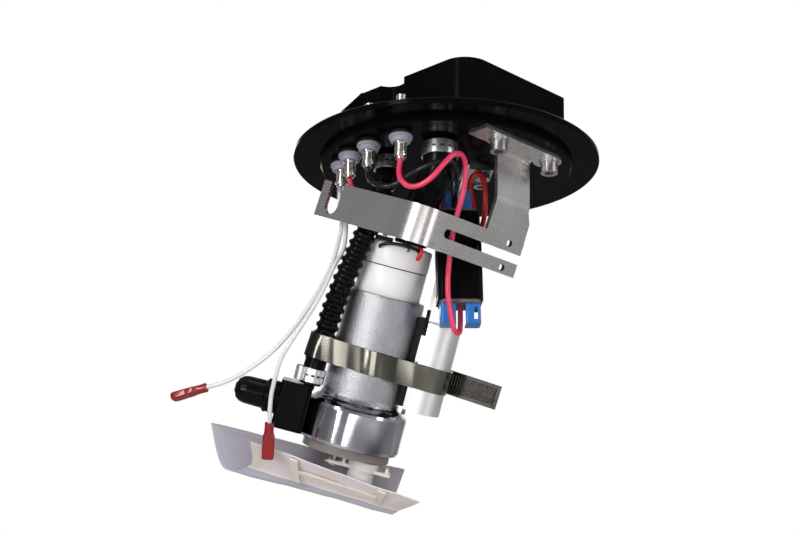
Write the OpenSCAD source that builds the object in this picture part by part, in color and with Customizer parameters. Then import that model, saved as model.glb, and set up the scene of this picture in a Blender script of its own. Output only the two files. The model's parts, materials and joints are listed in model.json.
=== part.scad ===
// In-tank fuel pump assembly: a billet tank cover that carries, on a folded bracket,
// a turbine fuel pump with its hoses, filter sock, sealed connector and leads.
// Origin: centre of the cover on the face that seats on the tank ring. +Z is up, out of the tank.

/* [Cover] */
// Outer diameter of the cover
flange_d = 153; // [145:1:170]
// Thickness of the cover's rim
flange_t = 3; // [2.5:0.5:5]
// Diameter of the step that drops into the tank opening
register_d = 126; // [124:1:130]
// Height of that step
register_h = 3; // [2:0.5:5]
// Side of the raised port block
block_side = 74; // [60:1:78]
// Height of the raised port block above the rim
block_h = 34.5; // [24:0.5:40]
// Radius of the block's front corner
block_corner_r = 13; // [6:1:16]
// Bore of the outlet port in the block's back wall
port_d = 17.5; // [12:0.5:20]
// Depth of that bore
port_depth = 14; // [8:1:18]

/* [Studs] */
// Radius of the arc on which the four electrical studs stand
stud_arc_r = 52.4; // [50:0.2:54]
// Stud thread diameter
stud_d = 5; // [4:0.5:6]
// Diameter of the insulator flanges
insulator_d = 11.5; // [10:0.5:13]
// Length of an insulator's flange under the cover
insulator_h = 5.5; // [4:0.5:7]

/* [Bracket] */
// Thickness of the bracket sheet
sheet_t = 2; // [1.5:0.25:2.5]
// Width of the strip that hangs from the cover
strip_w = 23.5; // [20:0.5:26]
// Distance of the strip's outer face from the cover's axis
strip_out = 41; // [40:0.5:42]
// Depth of the lower fold under the cover's seat
fold_drop = 30; // [28:0.5:32]
// Angle of the lower fold, by which the pump leans
fold_angle = 24; // [22:0.5:26]
// Height of the bracket's arms
arm_h = 18; // [17:0.5:19]
// Length of the left arm
left_arm_l = 74.5; // [72:0.5:76]
// Outer radius of the corner between the arms
corner_r = 11; // [8:0.5:12]
// Width of the open slot in the right arm
slot_w = 4.5; // [3.5:0.25:5]
// Diameter of the two sender holes at the slot's ends
sender_hole_d = 3.7; // [3:0.1:4.5]

/* [Pump] */
// Diameter of the pump's body
body_d = 39; // [38.5:0.1:39.5]
// Diameter of the collar at its foot
collar_d = 50.8; // [49:0.2:51.4]
// Length of the body from its top edge to the neck
body_l = 53; // [52:0.5:54]
// Length of the neck and collar
collar_l = 23; // [22:0.5:24]
// Wall of the body
body_wall = 1.2; // [1:0.1:1.5]
// Diameter of the white top cap
cap_d = 33; // [31:0.5:34]
// Height of the cap from the body's edge to its top
cap_h = 26; // [25:0.5:27]
// Impeller diameter
impeller_d = 34; // [30:0.5:36]
// Impeller thickness
impeller_t = 3.6; // [3:0.1:5]
// Number of impeller vanes
vane_count = 36; // [20:1:44]
// Shaft diameter
shaft_d = 5; // [4:0.5:6]
// Travel of the outlet check valve
check_travel = 2; // [1:0.25:2.5]
// Travel of the pressure relief valve
relief_travel = 1.5; // [0.75:0.25:2]

/* [Clamp and spacer] */
// Width of the worm-drive clamp band
band_w = 12; // [11:0.5:13]
// Thickness of the band
band_t = 0.7; // [0.5:0.1:1]
// Length of the aluminium spacer
spacer_l = 44; // [40:0.5:48]
// Radius of the spacer's round side
spacer_r = 12.6; // [12:0.1:13]
// Thickness of the rubber strip between pump and leg
pad_t = 2; // [1.5:0.25:2.5]

/* [Hoses] */
// Outer diameter of the feed hose
feed_od = 16; // [15:0.5:17]
// Bore of the feed hose
feed_id = 9.5; // [8:0.5:10]
// Outer diameter over the ridges of the corrugated hose
ridge_od = 11.6; // [11:0.2:12]
// Outer diameter in its grooves
groove_od = 9.2; // [8.8:0.2:10]
// Bore of the corrugated hose
return_id = 6.5; // [6:0.5:7]

/* [Leads] */
// Diameter of the thick leads
lead_d = 2.6; // [2:0.1:2.8]
// Diameter of the white sender leads
sender_lead_d = 2.1; // [1.8:0.1:2.3]

/* [Hidden] */
$fn = 64;

// Small gaps and overlaps that keep the pieces apart or the cuts clean
run_fit = 0.05;
seat_gap = 0.1;
cut = 1;

// Cover
block_at = [8, 0];
block_edge_r = 2;
port_side = -12.7;
passage_d = 9;
edge_r = 1;
block_top = flange_t + block_h;
register_r = register_d / 2;
port_z = flange_t + block_h / 2;
stud_angles = [-116, -137, -155, -170];
stud_hole_d = 8;
stud_tip_z = 16;
stud_foot_z = -17;
washer_t = 1;
stud_root_d = stud_d - 0.6;
upper_insulator_h = 3;
stud_nut_h = 4;
nut_top = flange_t + upper_insulator_h + washer_t + stud_nut_h;
stud_nut_d = 9.2;
sleeve_d = 6.2;
feed_at = [-4, -37];
return_at = [-29.5, -18.5];

// Bracket, in a frame turned 45 degrees, x along the right arm and y to the back
bracket_turn = 45;
plate_out = 54.7;
plate_left = -30;
plate_right = 29;
screw_out = 48.5;
screw_xs = [-14.5, 22.5];
screw_d = 5;
screw_head_d = 8.5;
screw_head_h = 5;
screw_washer_d = 10;
strip_x = -7;
fold_r = 8;
top_fold_r = 4;
arm_top = 16;
arm_foot = arm_top + arm_h;
arm_right = 20;
arm_corner_x = -51;
slot_end_x = -30.7;
slot_drop = 25;
hook_at = 63.9;
hook_w = 9.7;
hook_floor = 31.8;

// Pump axis in the bracket's frame, and the turn that lines up hose, pump, leg and spacer
pump_along = -18;
pump_back = 42;
pump_drop = 61;
pump_swing = 4.3;
row_turn = 42;
body_r = body_d / 2;
collar_r = collar_d / 2;
collar_foot = -(body_l + collar_l);
neck_h = 6;
leg_x = body_r + pad_t;
spacer_x = leg_x + sheet_t;
spacer_top = -7.3;
spacer_c = spacer_x + 4;
band_z = -32.5;
band_tilt = 2.4;
band_gap = 0.4;
hose_c = [-24.5, -12];
seam_h = 18.5;

// Where the pump's own parts stand, measured along its axis from the body's top edge
magnet_top = -10;
magnet_l = body_l - 21;
magnet_t = 3.2;
armature_top = -12;
armature_l = body_l - 25;
air_gap = 0.8;
slot_count = 8;
commutator_z = -8;
commutator_h = 3;
commutator_d = 21;
brush_x = 8.2;
upper_bearing_z = 3;
lower_bearing_z = -body_l - 1;
bearing_h = 5;
bearing_d = 12;
plate_top = -body_l - 5.5;
impeller_z = plate_top - 7.5;
impeller_clear = 0.15;
inlet_foot = collar_foot + 1;
inlet_at = [10, -8];
inlet_d = 12;
outlet_at = [5, -11.5];
outlet_d = 10;
outlet_h = 12;
relief_at = [-6, 8];
valve_bore_d = 7;
check_seat_z = cap_h + 2;

// Sock, as two leaves that meet along a lower fold
sock_left = -68.5;
sock_right = 41;
sock_t = 2.6;

// Connector
connector_w = 22;
connector_deep = 16;
connector_at = [4.5, -10];
connector_top = -31;
connector_foot = -76;
connector_turn = 4;

// Routes of the leads, in millimetres
pink_route = [[-22.9, -47.1, -17.2], [-23.4, -48, -23.8], [-22, -50, -28.9], [-18, -52, -32.5],
              [-12.8, -54.5, -32.4], [-7.6, -56.5, -29], [-2.4, -57, -22.7], [1.8, -56, -17.8],
              [5.4, -52.5, -15.8], [7.8, -47, -17.5], [8.2, -43.5, -24], [7, -41, -32], [5, -37, -39],
              [2.5, -33, -51], [1.5, -28.5, -61], [1, -25, -68], [1.2, -22.5, -76], [2.4, -19.5, -83],
              [3.6, -17.5, -88.5], [5.2, -14.5, -92], [7, -11.5, -91.5], [7.6, -10, -87], [7.5, -10, -78]];
black_route = [[-38.3, -35.7, -17.2], [-38.3, -35.9, -21], [-35.5, -39.5, -26], [-30.1, -43, -29.2],
               [-24.6, -44.6, -28.4], [-18.7, -48, -25.2], [-12.5, -51.5, -22.9], [-6.3, -52.5, -20.2],
               [-0.5, -51.3, -18.9], [2.8, -48, -19.2], [4, -43, -21.3], [4.2, -36, -22.6],
               [4.2, -28, -22.4], [4.2, -19, -21.8], [4.4, -12.5, -23.5], [4.4, -10.5, -28.6]];
red_route = [[13.9, -9, -28.8], [14, -9, -20], [12.5, -9.5, -15], [10.8, -11.5, -11.4], [12.6, -13, -10.4],
             [15.8, -13.5, -12.3], [18, -12.5, -17.3], [19, -9.5, -25], [18.8, -3.5, -31.5],
             [16, 1.2, -37.5], [8, 1, -41.5], [-2, 1, -43.5], [-12, -1, -42.5], [-20, -7, -38],
             [-25.5, -12.5, -35.5], [-28.6, -13.4, -38.2], [-29.6, -11.9, -42.7]];
magenta_route = [[-47.5, -22.1, -17.5], [-47.2, -21.8, -19], [-45.9, -20.2, -21], [-44.3, -17.8, -24.6],
                 [-42, -13.5, -30.5], [-37, -7.5, -35], [-28, -3, -38], [-18, 0, -38.5], [-9, -2.5, -33], [-4, -6, -24],
                 [-2.6, -8.6, -23], [-2.5, -9.5, -28.6]];
long_route = [[-52.8, -9.1, -17.2], [-52.2, -9.6, -27], [-51, -10.6, -37.8], [-51.7, -10.7, -43.2],
              [-54.5, -12.1, -56.7], [-58.9, -15.9, -69.3], [-64.8, -17.9, -81.2], [-72.7, -17.5, -93.7],
              [-82.2, -15.6, -104.3], [-93.2, -12.6, -112.4], [-103.7, -8.6, -117.3],
              [-113, -5.6, -119.5]];
short_route = [[-50.4, -9.1, -17.2], [-49.6, -9.4, -26], [-48.8, -11, -38], [-49.6, -13, -50.5],
               [-53.6, -16, -60], [-58, -19.8, -72.6], [-62.6, -21.4, -82.8], [-68.5, -20.6, -93],
               [-73.8, -18.6, -101.2], [-77.8, -15.6, -108.3], [-80.5, -11.6, -117.2],
               [-82.2, -7.2, -125.1], [-82.7, -1.7, -135.2]];
terminal_l = 18;
terminal_d = 6;

// Centre line of the feed hose, cover to pump
feed_route = [[-4, -37, -4.2], [-4, -37, -9], [-4, -37, -13], [-5.1, -35.3, -18.5], [-7.6, -31.5, -23.5],
              [-10.4, -27, -28.3], [-12.8, -23.3, -33], [-14.1, -21.3, -37], [-15.2, -19.7, -41],
              [-17.2, -16.7, -49.1]];
// Centre line of the corrugated hose, cover to fitting
return_route = [[-29.5, -18.5, -4.2], [-29.6, -18.5, -13], [-32, -18.2, -23], [-35.3, -19.3, -33.4],
                [-38.7, -20.3, -44], [-42.6, -18, -53], [-46.8, -14, -61.5], [-50.9, -9.8, -71],
                [-54.5, -5.4, -80.2], [-57.4, -2, -89.5], [-60.5, 1.7, -98.3], [-62.6, 4.6, -105.4],
                [-64.6, 7.5, -113.2]];

// Moves its children from the bracket's frame into the cover's
module bracket_frame() {
    translate([strip_out * sin(bracket_turn), -strip_out * cos(bracket_turn), -fold_drop])
        rotate([0, 0, bracket_turn]) rotate([fold_angle, 0, 0]) children();
}

// Moves its children from the pump's frame: z up the pump's axis, x along the row
module pump_frame() {
    bracket_frame() translate([pump_along, pump_back, -pump_drop])
        rotate([0, -pump_swing, 0]) rotate([0, 0, -row_turn]) children();
}

// Flat outline of a rectangle with round corners, centred
module round_rect(w, h, r) {
    square([w - 2 * r, h], center = true);
    square([w, h - 2 * r], center = true);
    for (sx = [-1, 1], sy = [-1, 1])
        translate([sx * (w / 2 - r), sy * (h / 2 - r)]) circle(r);
}

// A six-sided prism given by its width across flats
module hex(af, h) {
    cylinder(h = h, d = af / cos(30), $fn = 6);
}

// A ring with a bore
module ring(od, id, h) {
    difference() {
        cylinder(h = h, d = od);
        translate([0, 0, -cut]) cylinder(h = h + 2 * cut, d = id);
    }
}

// Sweeping: unit vectors, directions along a route, and rings of points round it
function unit(v) = v / norm(v);
function heading(p, i) = unit(p[min(i + 1, len(p) - 1)] - p[max(i - 1, 0)]);
function carried(p, i, side) =
    i == len(p) ? [] :
    let (t = heading(p, i), flat = unit(side - (side * t) * t)) concat([flat], carried(p, i + 1, flat));
function side_ways(p) = carried(p, 0, abs(heading(p, 0)[0]) > 0.8 ? [0, 1, 0] : [1, 0, 0]);
function ring_points(c, t, side, r, sides) =
    let (up = cross(side, t))
    [for (k = [0 : sides - 1]) c + r * (cos(360 * k / sides) * side + sin(360 * k / sides) * up)];
function round_faces(rings, sides, first, flip) =
    [for (i = [0 : rings - 2], k = [0 : sides - 1])
        let (a = first + i * sides + k, b = first + i * sides + (k + 1) % sides,
             c = b + sides, d = a + sides)
        flip ? [d, c, b, a] : [a, b, c, d]];

// A solid round lead through the points of its route
module lead(route, d) {
    sides = 8;
    n = len(route);
    across = side_ways(route);
    points = [for (i = [0 : n - 1])
        each ring_points(route[i], heading(route, i), across[i], d / 2, sides)];
    ends = [[for (k = [sides - 1 : -1 : 0]) k], [for (k = [0 : sides - 1]) (n - 1) * sides + k]];
    polyhedron(points, concat(round_faces(n, sides, 0, false), ends), convexity = 6);
}

// A tube with a bore: one radius for each point of the route, the same bore all along
module tube(route, radii, bore_d, sides) {
    n = len(route);
    bore_r = bore_d / 2 / cos(180 / sides);
    across = side_ways(route);
    outer = [for (i = [0 : n - 1])
        each ring_points(route[i], heading(route, i), across[i], radii[i], sides)];
    inner = [for (i = [0 : n - 1])
        each ring_points(route[i], heading(route, i), across[i], bore_r, sides)];
    near = [for (k = [0 : sides - 1]) [k, n * sides + k, n * sides + (k + 1) % sides, (k + 1) % sides]];
    far = [for (k = [0 : sides - 1])
        let (a = (n - 1) * sides, b = (2 * n - 1) * sides)
        [a + k, a + (k + 1) % sides, b + (k + 1) % sides, b + k]];
    polyhedron(concat(outer, inner),
               concat(round_faces(n, sides, 0, false), round_faces(n, sides, n * sides, true), near, far),
               convexity = 8);
}

// Points on a smooth curve through a route
function curve_at(p, i, t) =
    let (a = p[max(i - 1, 0)], b = p[i], c = p[i + 1], d = p[min(i + 2, len(p) - 1)])
    0.5 * (2 * b + (c - a) * t + (2 * a - 5 * b + 4 * c - d) * t * t + (3 * b - a - 3 * c + d) * t * t * t);
function smooth(p, steps) =
    concat([for (i = [0 : len(p) - 2], s = [0 : steps - 1]) curve_at(p, i, s / steps)], [p[len(p) - 1]]);

// Where the studs stand
function stud_at(a) = [stud_arc_r * cos(a), stud_arc_r * sin(a)];
module each_stud() {
    for (a = stud_angles) translate(stud_at(a)) children();
}

module hat() {
    color([0.06, 0.06, 0.065]) difference() {
        union() {
            rotate_extrude($fn = 128) polygon([
                [0, -register_h], [register_r - edge_r, -register_h], [register_r, -register_h + edge_r],
                [register_r, 0], [flange_d / 2 - 0.4, 0], [flange_d / 2, 0.4],
                [flange_d / 2, flange_t - 0.6], [flange_d / 2 - 0.6, flange_t], [0, flange_t]]);
            port_block();
        }
        each_stud() translate([0, 0, -register_h - cut])
            cylinder(h = register_h + flange_t + 2 * cut, d = stud_hole_d);
        translate([return_at[0], return_at[1], flange_t]) cylinder(h = block_top, d = 17);
        translate([feed_at[0], feed_at[1], -register_h - cut])
            cylinder(h = register_h + barb_deep + cut, d = barb_root_d);
        translate([return_at[0], return_at[1], -register_h - cut])
            cylinder(h = register_h + flange_t + 2 * cut, d = barb_root_d);
        outlet_port();
        bracket_turned() for (x = screw_xs) translate([x, -screw_out, -register_h - cut])
            cylinder(h = 5 + cut, d = screw_d);
        foot_turned() for (y = leg_screw_ys) translate([leg_screw_x, y, -register_h - cut])
            cylinder(h = 5 + cut, d = leg_screw_d);
    }
}

// The raised block: a square set on its corner, rounded in front, with a sloped rib at its left corner
module port_block() {
    left = block_at[0] - block_side / sqrt(2);
    side = block_side / 2;
    translate([block_at[0], block_at[1], 0]) rotate([0, 0, 45]) linear_extrude(height = block_top)
        difference() {
            round_rect(block_side, block_side, block_edge_r);
            difference() {
                translate([-side - cut, -side - cut])
                    square([block_corner_r + cut, block_corner_r + cut]);
                translate([block_corner_r - side, block_corner_r - side]) circle(block_corner_r);
            }
        }
    translate([0, 2, 0]) rotate([90, 0, 0]) linear_extrude(height = 4)
        polygon([[left + 1, block_top], [left - 9, block_top - 10.5], [left - 9, flange_t - 1],
                 [left + 4, flange_t - 1], [left + 4, block_top]]);
}

// Outlet port in the back right wall of the block, and the passage that feeds it from the barb
module outlet_port() {
    translate([block_at[0], block_at[1], port_z]) rotate([0, 0, 45])
        translate([0, port_side, 0]) rotate([0, 90, 0]) {
            translate([0, 0, block_side / 2 - port_depth]) cylinder(h = port_depth + cut, d = port_d);
            translate([0, 0, block_side / 2 - 1.6]) cylinder(h = 2.6, d = port_d + 4);
            translate([0, 0, -35]) cylinder(h = 60, d = passage_d);
        }
    translate([feed_at[0], feed_at[1], -register_h]) cylinder(h = port_z + register_h, d = 6);
}

module studs() {
    color([0.8, 0.78, 0.75]) each_stud() {
        translate([0, 0, stud_foot_z]) cylinder(h = stud_tip_z - stud_foot_z - 2, d = stud_root_d);
        translate([0, 0, nut_top]) cylinder(h = stud_tip_z - nut_top, d = stud_d);
    }
}

module stud_insulators_lower() {
    color([0.66, 0.66, 0.74]) each_stud() difference() {
        union() {
            translate([0, 0, -register_h - 2.2]) cylinder(h = 2.2, d = insulator_d);
            translate([0, 0, -register_h - insulator_h]) cylinder(h = insulator_h, d = insulator_d - 1.6);
            translate([0, 0, -register_h]) cylinder(h = register_h, d = stud_hole_d - 2 * seat_gap);
        }
        translate([0, 0, -20]) cylinder(h = 40, d = stud_root_d + 2 * run_fit);
    }
}

module stud_insulators_upper() {
    color([0.66, 0.66, 0.74]) each_stud() difference() {
        union() {
            translate([0, 0, flange_t]) cylinder(h = upper_insulator_h, d = insulator_d);
            cylinder(h = flange_t, d = stud_hole_d - 2 * seat_gap);
        }
        translate([0, 0, -20]) cylinder(h = 40, d = stud_root_d + 2 * run_fit);
    }
}

module stud_washers() {
    color([0.85, 0.85, 0.86]) each_stud() translate([0, 0, flange_t + upper_insulator_h])
        ring(10, stud_root_d + 2 * run_fit, washer_t);
}

module stud_nuts() {
    color([0.75, 0.75, 0.77]) each_stud() difference() {
        translate([0, 0, nut_top - stud_nut_h]) hex(8, stud_nut_h);
        cylinder(h = 40, d = stud_root_d + 2 * run_fit);
    }
}

// Plated sleeves that hold the ring terminals under the cover
module stud_sleeves() {
    sleeve_top = -register_h - insulator_h;
    color([0.82, 0.8, 0.78]) each_stud() difference() {
        union() {
            translate([0, 0, sleeve_top - 1]) cylinder(h = 1, d = sleeve_d + 1.6);
            translate([0, 0, sleeve_top - 7]) cylinder(h = 6, d = sleeve_d);
            translate([0, 0, sleeve_top - 7.4]) cylinder(h = 0.4, d = sleeve_d + 0.8);
        }
        translate([0, 0, -20]) cylinder(h = 20, d = stud_d);
    }
}

// A hose barb that fits into the cover from below: root, shoulder, neck and three ridges
module barb(at, root_h, neck_d, bore_d, length) {
    ridge = 0.5;
    translate([at[0], at[1], -register_h]) difference() {
        union() {
            cylinder(h = register_h + root_h, d = barb_root_d - 2 * seat_gap);
            translate([0, 0, -shoulder_h]) cylinder(h = shoulder_h, d = barb_root_d + 2);
            translate([0, 0, -shoulder_h - length]) cylinder(h = length, d = neck_d);
            for (k = [0 : 2]) translate([0, 0, -shoulder_h - length + 1 + 3.2 * k])
                cylinder(h = 2.4, d1 = neck_d, d2 = neck_d + 2 * ridge);
        }
        translate([0, 0, -shoulder_h - length - cut]) cylinder(h = length + 20, d = bore_d);
    }
}
barb_root_d = 10;
barb_deep = 2;
shoulder_h = 0.8;

module feed_barb() {
    color([0.1, 0.1, 0.11]) barb(feed_at, barb_deep, feed_id - 1.2, 6, 12);
}

// The return barb goes right through and ends in a nipple on top of the cover
module return_barb() {
    color([0.1, 0.1, 0.11]) {
        barb(return_at, flange_t, return_id - 1.2, 3.6, 11);
        translate([return_at[0], return_at[1], flange_t]) difference() {
            union() {
                hex(13, 4);
                cylinder(h = 13.4, d = 8);
                translate([0, 0, 13.4]) cylinder(h = 1.6, d1 = 8, d2 = 6.4);
            }
            translate([0, 0, -cut]) cylinder(h = 20, d = 3.6);
        }
    }
}

// A single-ear clamp round a hose: band, raised ear and the step of its lap
module ear_clamp(id, w, ear_turn) {
    t = 0.8;
    ear_out = id / 2 + 3;
    rotate([0, 0, ear_turn]) translate([0, 0, -w / 2]) {
        ring(id + 2 * t, id, w);
        translate([id / 2 + t / 2, 0, 0]) linear_extrude(height = w) difference() {
            translate([0, -3.2]) square([2.6, 6.4]);
            translate([-0.5, -2.4]) square([2.3, 4.8]);
        }
    }
}

module feed_clamp() {
    color([0.82, 0.83, 0.84]) translate([feed_at[0], feed_at[1], -8.2])
        ear_clamp(feed_od + 2 * seat_gap, 7, 60);
}

module return_clamp() {
    color([0.82, 0.83, 0.84]) translate([return_at[0], return_at[1], -8])
        ear_clamp(cuff_d + 2 * seat_gap, 7, 100);
}

module feed_hose() {
    path = smooth(feed_route, 3);
    color([0.05, 0.05, 0.055]) tube(path, [for (p = path) feed_od / 2], feed_id, 16);
}

// Corrugated hose: plain cuffs at both ends, ridges and grooves between
cuff_d = 10.8;
hose_steps = 9;
cuff_rings = 14;
function ridge_radius(i, n) =
    (i < cuff_rings || i > n - 1 - cuff_rings) ? cuff_d / 2 :
    (i % 4 < 2 ? ridge_od : groove_od) / 2;
module return_hose() {
    path = smooth(return_route, hose_steps);
    n = len(path);
    color([0.04, 0.04, 0.045]) tube(path, [for (i = [0 : n - 1]) ridge_radius(i, n)], return_id, 12);
}

module fitting_clamp() {
    color([0.82, 0.83, 0.84]) pump_frame() translate([hose_foot[0], hose_foot[1], -46])
        ear_clamp(cuff_d + 2 * seat_gap, 7, 200);
}

// Turns its children to the bracket's heading under the cover
module bracket_turned() {
    rotate([0, 0, bracket_turn]) children();
}

// Folded bracket: plate under the cover, hanging strip, lower fold and the two arms
module bracket() {
    color([0.7, 0.69, 0.68]) {
        bracket_turned() {
            difference() {
                translate([0, 0, -register_h - sheet_t]) linear_extrude(height = sheet_t) top_plate_outline();
                for (x = screw_xs) translate([x, -screw_out, -20]) cylinder(h = 20, d = screw_d + 0.4);
            }
            translate([strip_x, 0, 0]) rotate([90, 0, 90]) linear_extrude(height = strip_w) strip_profile();
        }
        bracket_frame() {
            rotate([90, 0, 0]) translate([0, 0, -sheet_t]) linear_extrude(height = sheet_t)
                right_arm_outline();
            corner_bend();
            translate([arm_corner_x + sheet_t, 0, 0]) rotate([90, 0, -90])
                linear_extrude(height = sheet_t) left_arm_outline();
        }
    }
}

module top_plate_outline() {
    inner = strip_out + top_fold_r - sheet_t;
    difference() {
        union() {
            translate([plate_left, -plate_out]) square([plate_right - plate_left - 7, plate_out - inner]);
            translate([plate_left, -plate_out + 7]) square([plate_right - plate_left, plate_out - inner - 7]);
            translate([plate_right - 7, -plate_out + 7]) circle(7);
        }
        translate([plate_left, -inner]) rotate(-30) translate([-20, -10]) square([20, 30]);
        circle(d = 0.1);
    }
}

// Side view of the strip: upper fold, straight part and the lower fold
module strip_profile() {
    z_top = -register_h;
    inner_r = top_fold_r - sheet_t;
    upper = [-strip_out - inner_r, z_top - top_fold_r];
    fold_back = fold_r * tan(fold_angle / 2);
    lower = [-strip_out + fold_r, -fold_drop + fold_back];
    intersection() {
        translate(upper) difference() {
            circle(top_fold_r);
            circle(inner_r);
        }
        translate(upper) square(20);
    }
    translate([-strip_out, lower[1]]) square([sheet_t, upper[1] - lower[1]]);
    intersection() {
        translate(lower) difference() {
            circle(fold_r);
            circle(fold_r - sheet_t);
        }
        translate(lower) polygon([[0, 0], [-30, 0], [-30 * cos(fold_angle), -30 * sin(fold_angle)]]);
    }
}

// Right arm with the strip's lower end, seen from the front
module right_arm_outline() {
    fold_back = fold_r * tan(fold_angle / 2);
    difference() {
        union() {
            translate([strip_x, -arm_top]) square([strip_w, arm_top - fold_back]);
            polygon([[strip_x + strip_w, -fold_back], [arm_right - 0.5, -6.8], [arm_right, -arm_top - 6.7],
                     [strip_x, -arm_top - 6.7], [strip_x, -fold_back]]);
            translate([arm_corner_x + corner_r, -arm_foot])
                square([arm_right - arm_corner_x - corner_r, arm_h]);
        }
        translate([slot_end_x, -slot_drop]) circle(d = slot_w);
        translate([slot_end_x, -slot_drop - slot_w / 2]) square([80, slot_w]);
        for (z = [-18.7, -31]) translate([10.3, z]) circle(d = sender_hole_d);
        translate([strip_x - 1.5, -arm_top + 1.5]) circle(1.5);
    }
}

// Quarter-round bend between the arms
module corner_bend() {
    translate([arm_corner_x + corner_r, corner_r, -arm_foot]) difference() {
        intersection() {
            cylinder(h = arm_h, r = corner_r);
            translate([-corner_r, -corner_r, 0]) cube([corner_r, corner_r, arm_h]);
        }
        translate([0, 0, -cut]) cylinder(h = arm_h + 2 * cut, r = corner_r - sheet_t);
    }
}

// Left arm, drawn with x to the back: ends in an upright hook
module left_arm_outline() {
    difference() {
        translate([-left_arm_l, -arm_foot]) square([left_arm_l - corner_r, arm_h]);
        translate([-hook_at, -hook_floor + hook_w / 2]) circle(d = hook_w);
        translate([-hook_at - hook_w / 2, -hook_floor + hook_w / 2]) square([hook_w, 20]);
        translate([-left_arm_l, -arm_top - 5]) rotate(20) translate([-10, 0]) square([10, 20]);
    }
}

// A socket-head screw and its washer, pointing up, head at the bottom
module cap_screw(d, head_d, head_h, washer_d, length) {
    rotate([180, 0, 0]) {
        ring(washer_d, d, 1);
        difference() {
            translate([0, 0, 1]) cylinder(h = head_h, d = head_d);
            translate([0, 0, head_h - 1.6]) hex(0.5 * head_d, 4);
        }
        translate([0, 0, -length]) cylinder(h = length + 2, d = d);
    }
}

module bracket_screws() {
    color([0.78, 0.78, 0.79]) bracket_turned() for (x = screw_xs)
        translate([x, -screw_out, -register_h - sheet_t])
            cap_screw(screw_d, screw_head_d, screw_head_h, screw_washer_d, sheet_t + 4);
}

// Leg: strip that hangs behind the connector and comes down beside the pump
foot_turn = 4.65;
leg_screw_x = 18;
leg_screw_ys = [-5.5, 4.5];
leg_screw_d = 4;
module foot_turned() {
    rotate([0, 0, foot_turn]) children();
}
module pump_leg() {
    leg_foot = -body_l - 1;
    color([0.68, 0.67, 0.66]) {
        intersection() {
            pump_frame() translate([leg_x, 0, 0]) rotate([90, 0, 90]) linear_extrude(height = sheet_t)
                polygon([[-9, leg_foot + 3], [-6, leg_foot], [6, leg_foot], [9, leg_foot + 3], [9, -22],
                         [25, -6], [25, 90], [11, 90], [11, -2], [-9, -14]]);
            translate([-100, -100, -201 - register_h]) cube([200, 200, 200]);
        }
        foot_turned() difference() {
            translate([leg_foot_x, -8, -register_h - sheet_t]) cube([15.5, 15, sheet_t]);
            for (y = leg_screw_ys) translate([leg_screw_x, y, -20]) cylinder(h = 20, d = leg_screw_d + 0.4);
        }
    }
}
leg_foot_x = 7.5;

module leg_screws() {
    color([0.78, 0.78, 0.79]) foot_turned() for (y = leg_screw_ys)
        translate([leg_screw_x, y, -register_h - sheet_t])
            cap_screw(leg_screw_d, 7, 3.5, 8, sheet_t + 4);
}

// Rubber strip with a hollow face that seats on the pump
module isolator_pad() {
    color([0.12, 0.12, 0.12]) pump_frame() difference() {
        translate([body_r - 1.5, -8, 3 - body_l]) cube([pad_t + 1.5, 16, body_l - 9]);
        translate([0, 0, -60]) cylinder(h = 70, r = body_r + run_fit);
    }
}

// Half-round bar that the band bears on
module spacer() {
    color([0.86, 0.86, 0.85]) pump_frame() translate([0, 0, spacer_top - spacer_l]) difference() {
        translate([spacer_c, 0, 0]) cylinder(h = spacer_l, r = spacer_r);
        translate([spacer_x - 40, -40, -cut]) cube([40, 80, spacer_l + 2 * cut]);
        translate([spacer_c + 3, 0, -cut]) cylinder(h = spacer_l + 2 * cut, d = 5);
    }
}

// The clamp's loop: a belt round the hose, the pump and the spacer
function belt_angle(a, b, ra, rb) =
    atan2(b[1] - a[1], b[0] - a[0]) - acos((ra - rb) / norm(b - a));
function arc(c, r, from, to, n) = [for (k = [0 : n]) let (a = from + (to - from) * k / n)
    c + r * [cos(a), sin(a)]];
belt = [[hose_c, cuff_d / 2 + 0.3], [[0, 0], body_r], [[spacer_c, 0], spacer_r]];
function belt_points(grow) =
    let (h = belt[0], p = belt[1], s = belt[2],
         front_hp = belt_angle(h[0], p[0], h[1], p[1]),
         front_ps = belt_angle(p[0], s[0], p[1], s[1]),
         back_sp = belt_angle(s[0], p[0], s[1], p[1]),
         back_ph = belt_angle(p[0], h[0], p[1], h[1]) + 360)
    concat(arc(p[0], p[1] + grow, front_hp, front_ps, 6),
           arc(s[0], s[1] + grow, front_ps, back_sp, 18),
           arc(p[0], p[1] + grow, back_sp, back_ph, 14),
           arc(h[0], h[1] + grow, back_ph, front_hp + 360, 12));

module clamp_band() {
    color([0.55, 0.53, 0.48]) pump_frame() translate([0, 0, band_z]) rotate([0, band_tilt, 0])
        translate([0, 0, -band_w / 2]) {
            linear_extrude(height = band_w) difference() {
                polygon(belt_points(band_gap + band_t));
                polygon(belt_points(band_gap));
            }
            band_tail();
        }
}

// Free end of the band, past the housing, with its worm slots
housing_x = 18;
housing_turn = -14.5;
module band_tail() {
    tail_l = 50;
    slot_pitch = 2.1;
    translate([housing_x, housing_y, 0]) rotate([0, 0, housing_turn]) difference() {
        translate([0, 0, 0]) cube([tail_l, band_t, band_w]);
        for (k = [0 : 8]) translate([tail_l - 4 - slot_pitch * k, -1, 2.2])
            rotate([0, 8, 0]) cube([1, 4, band_w - 4.4]);
    }
}
housing_y = 16.57;

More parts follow.
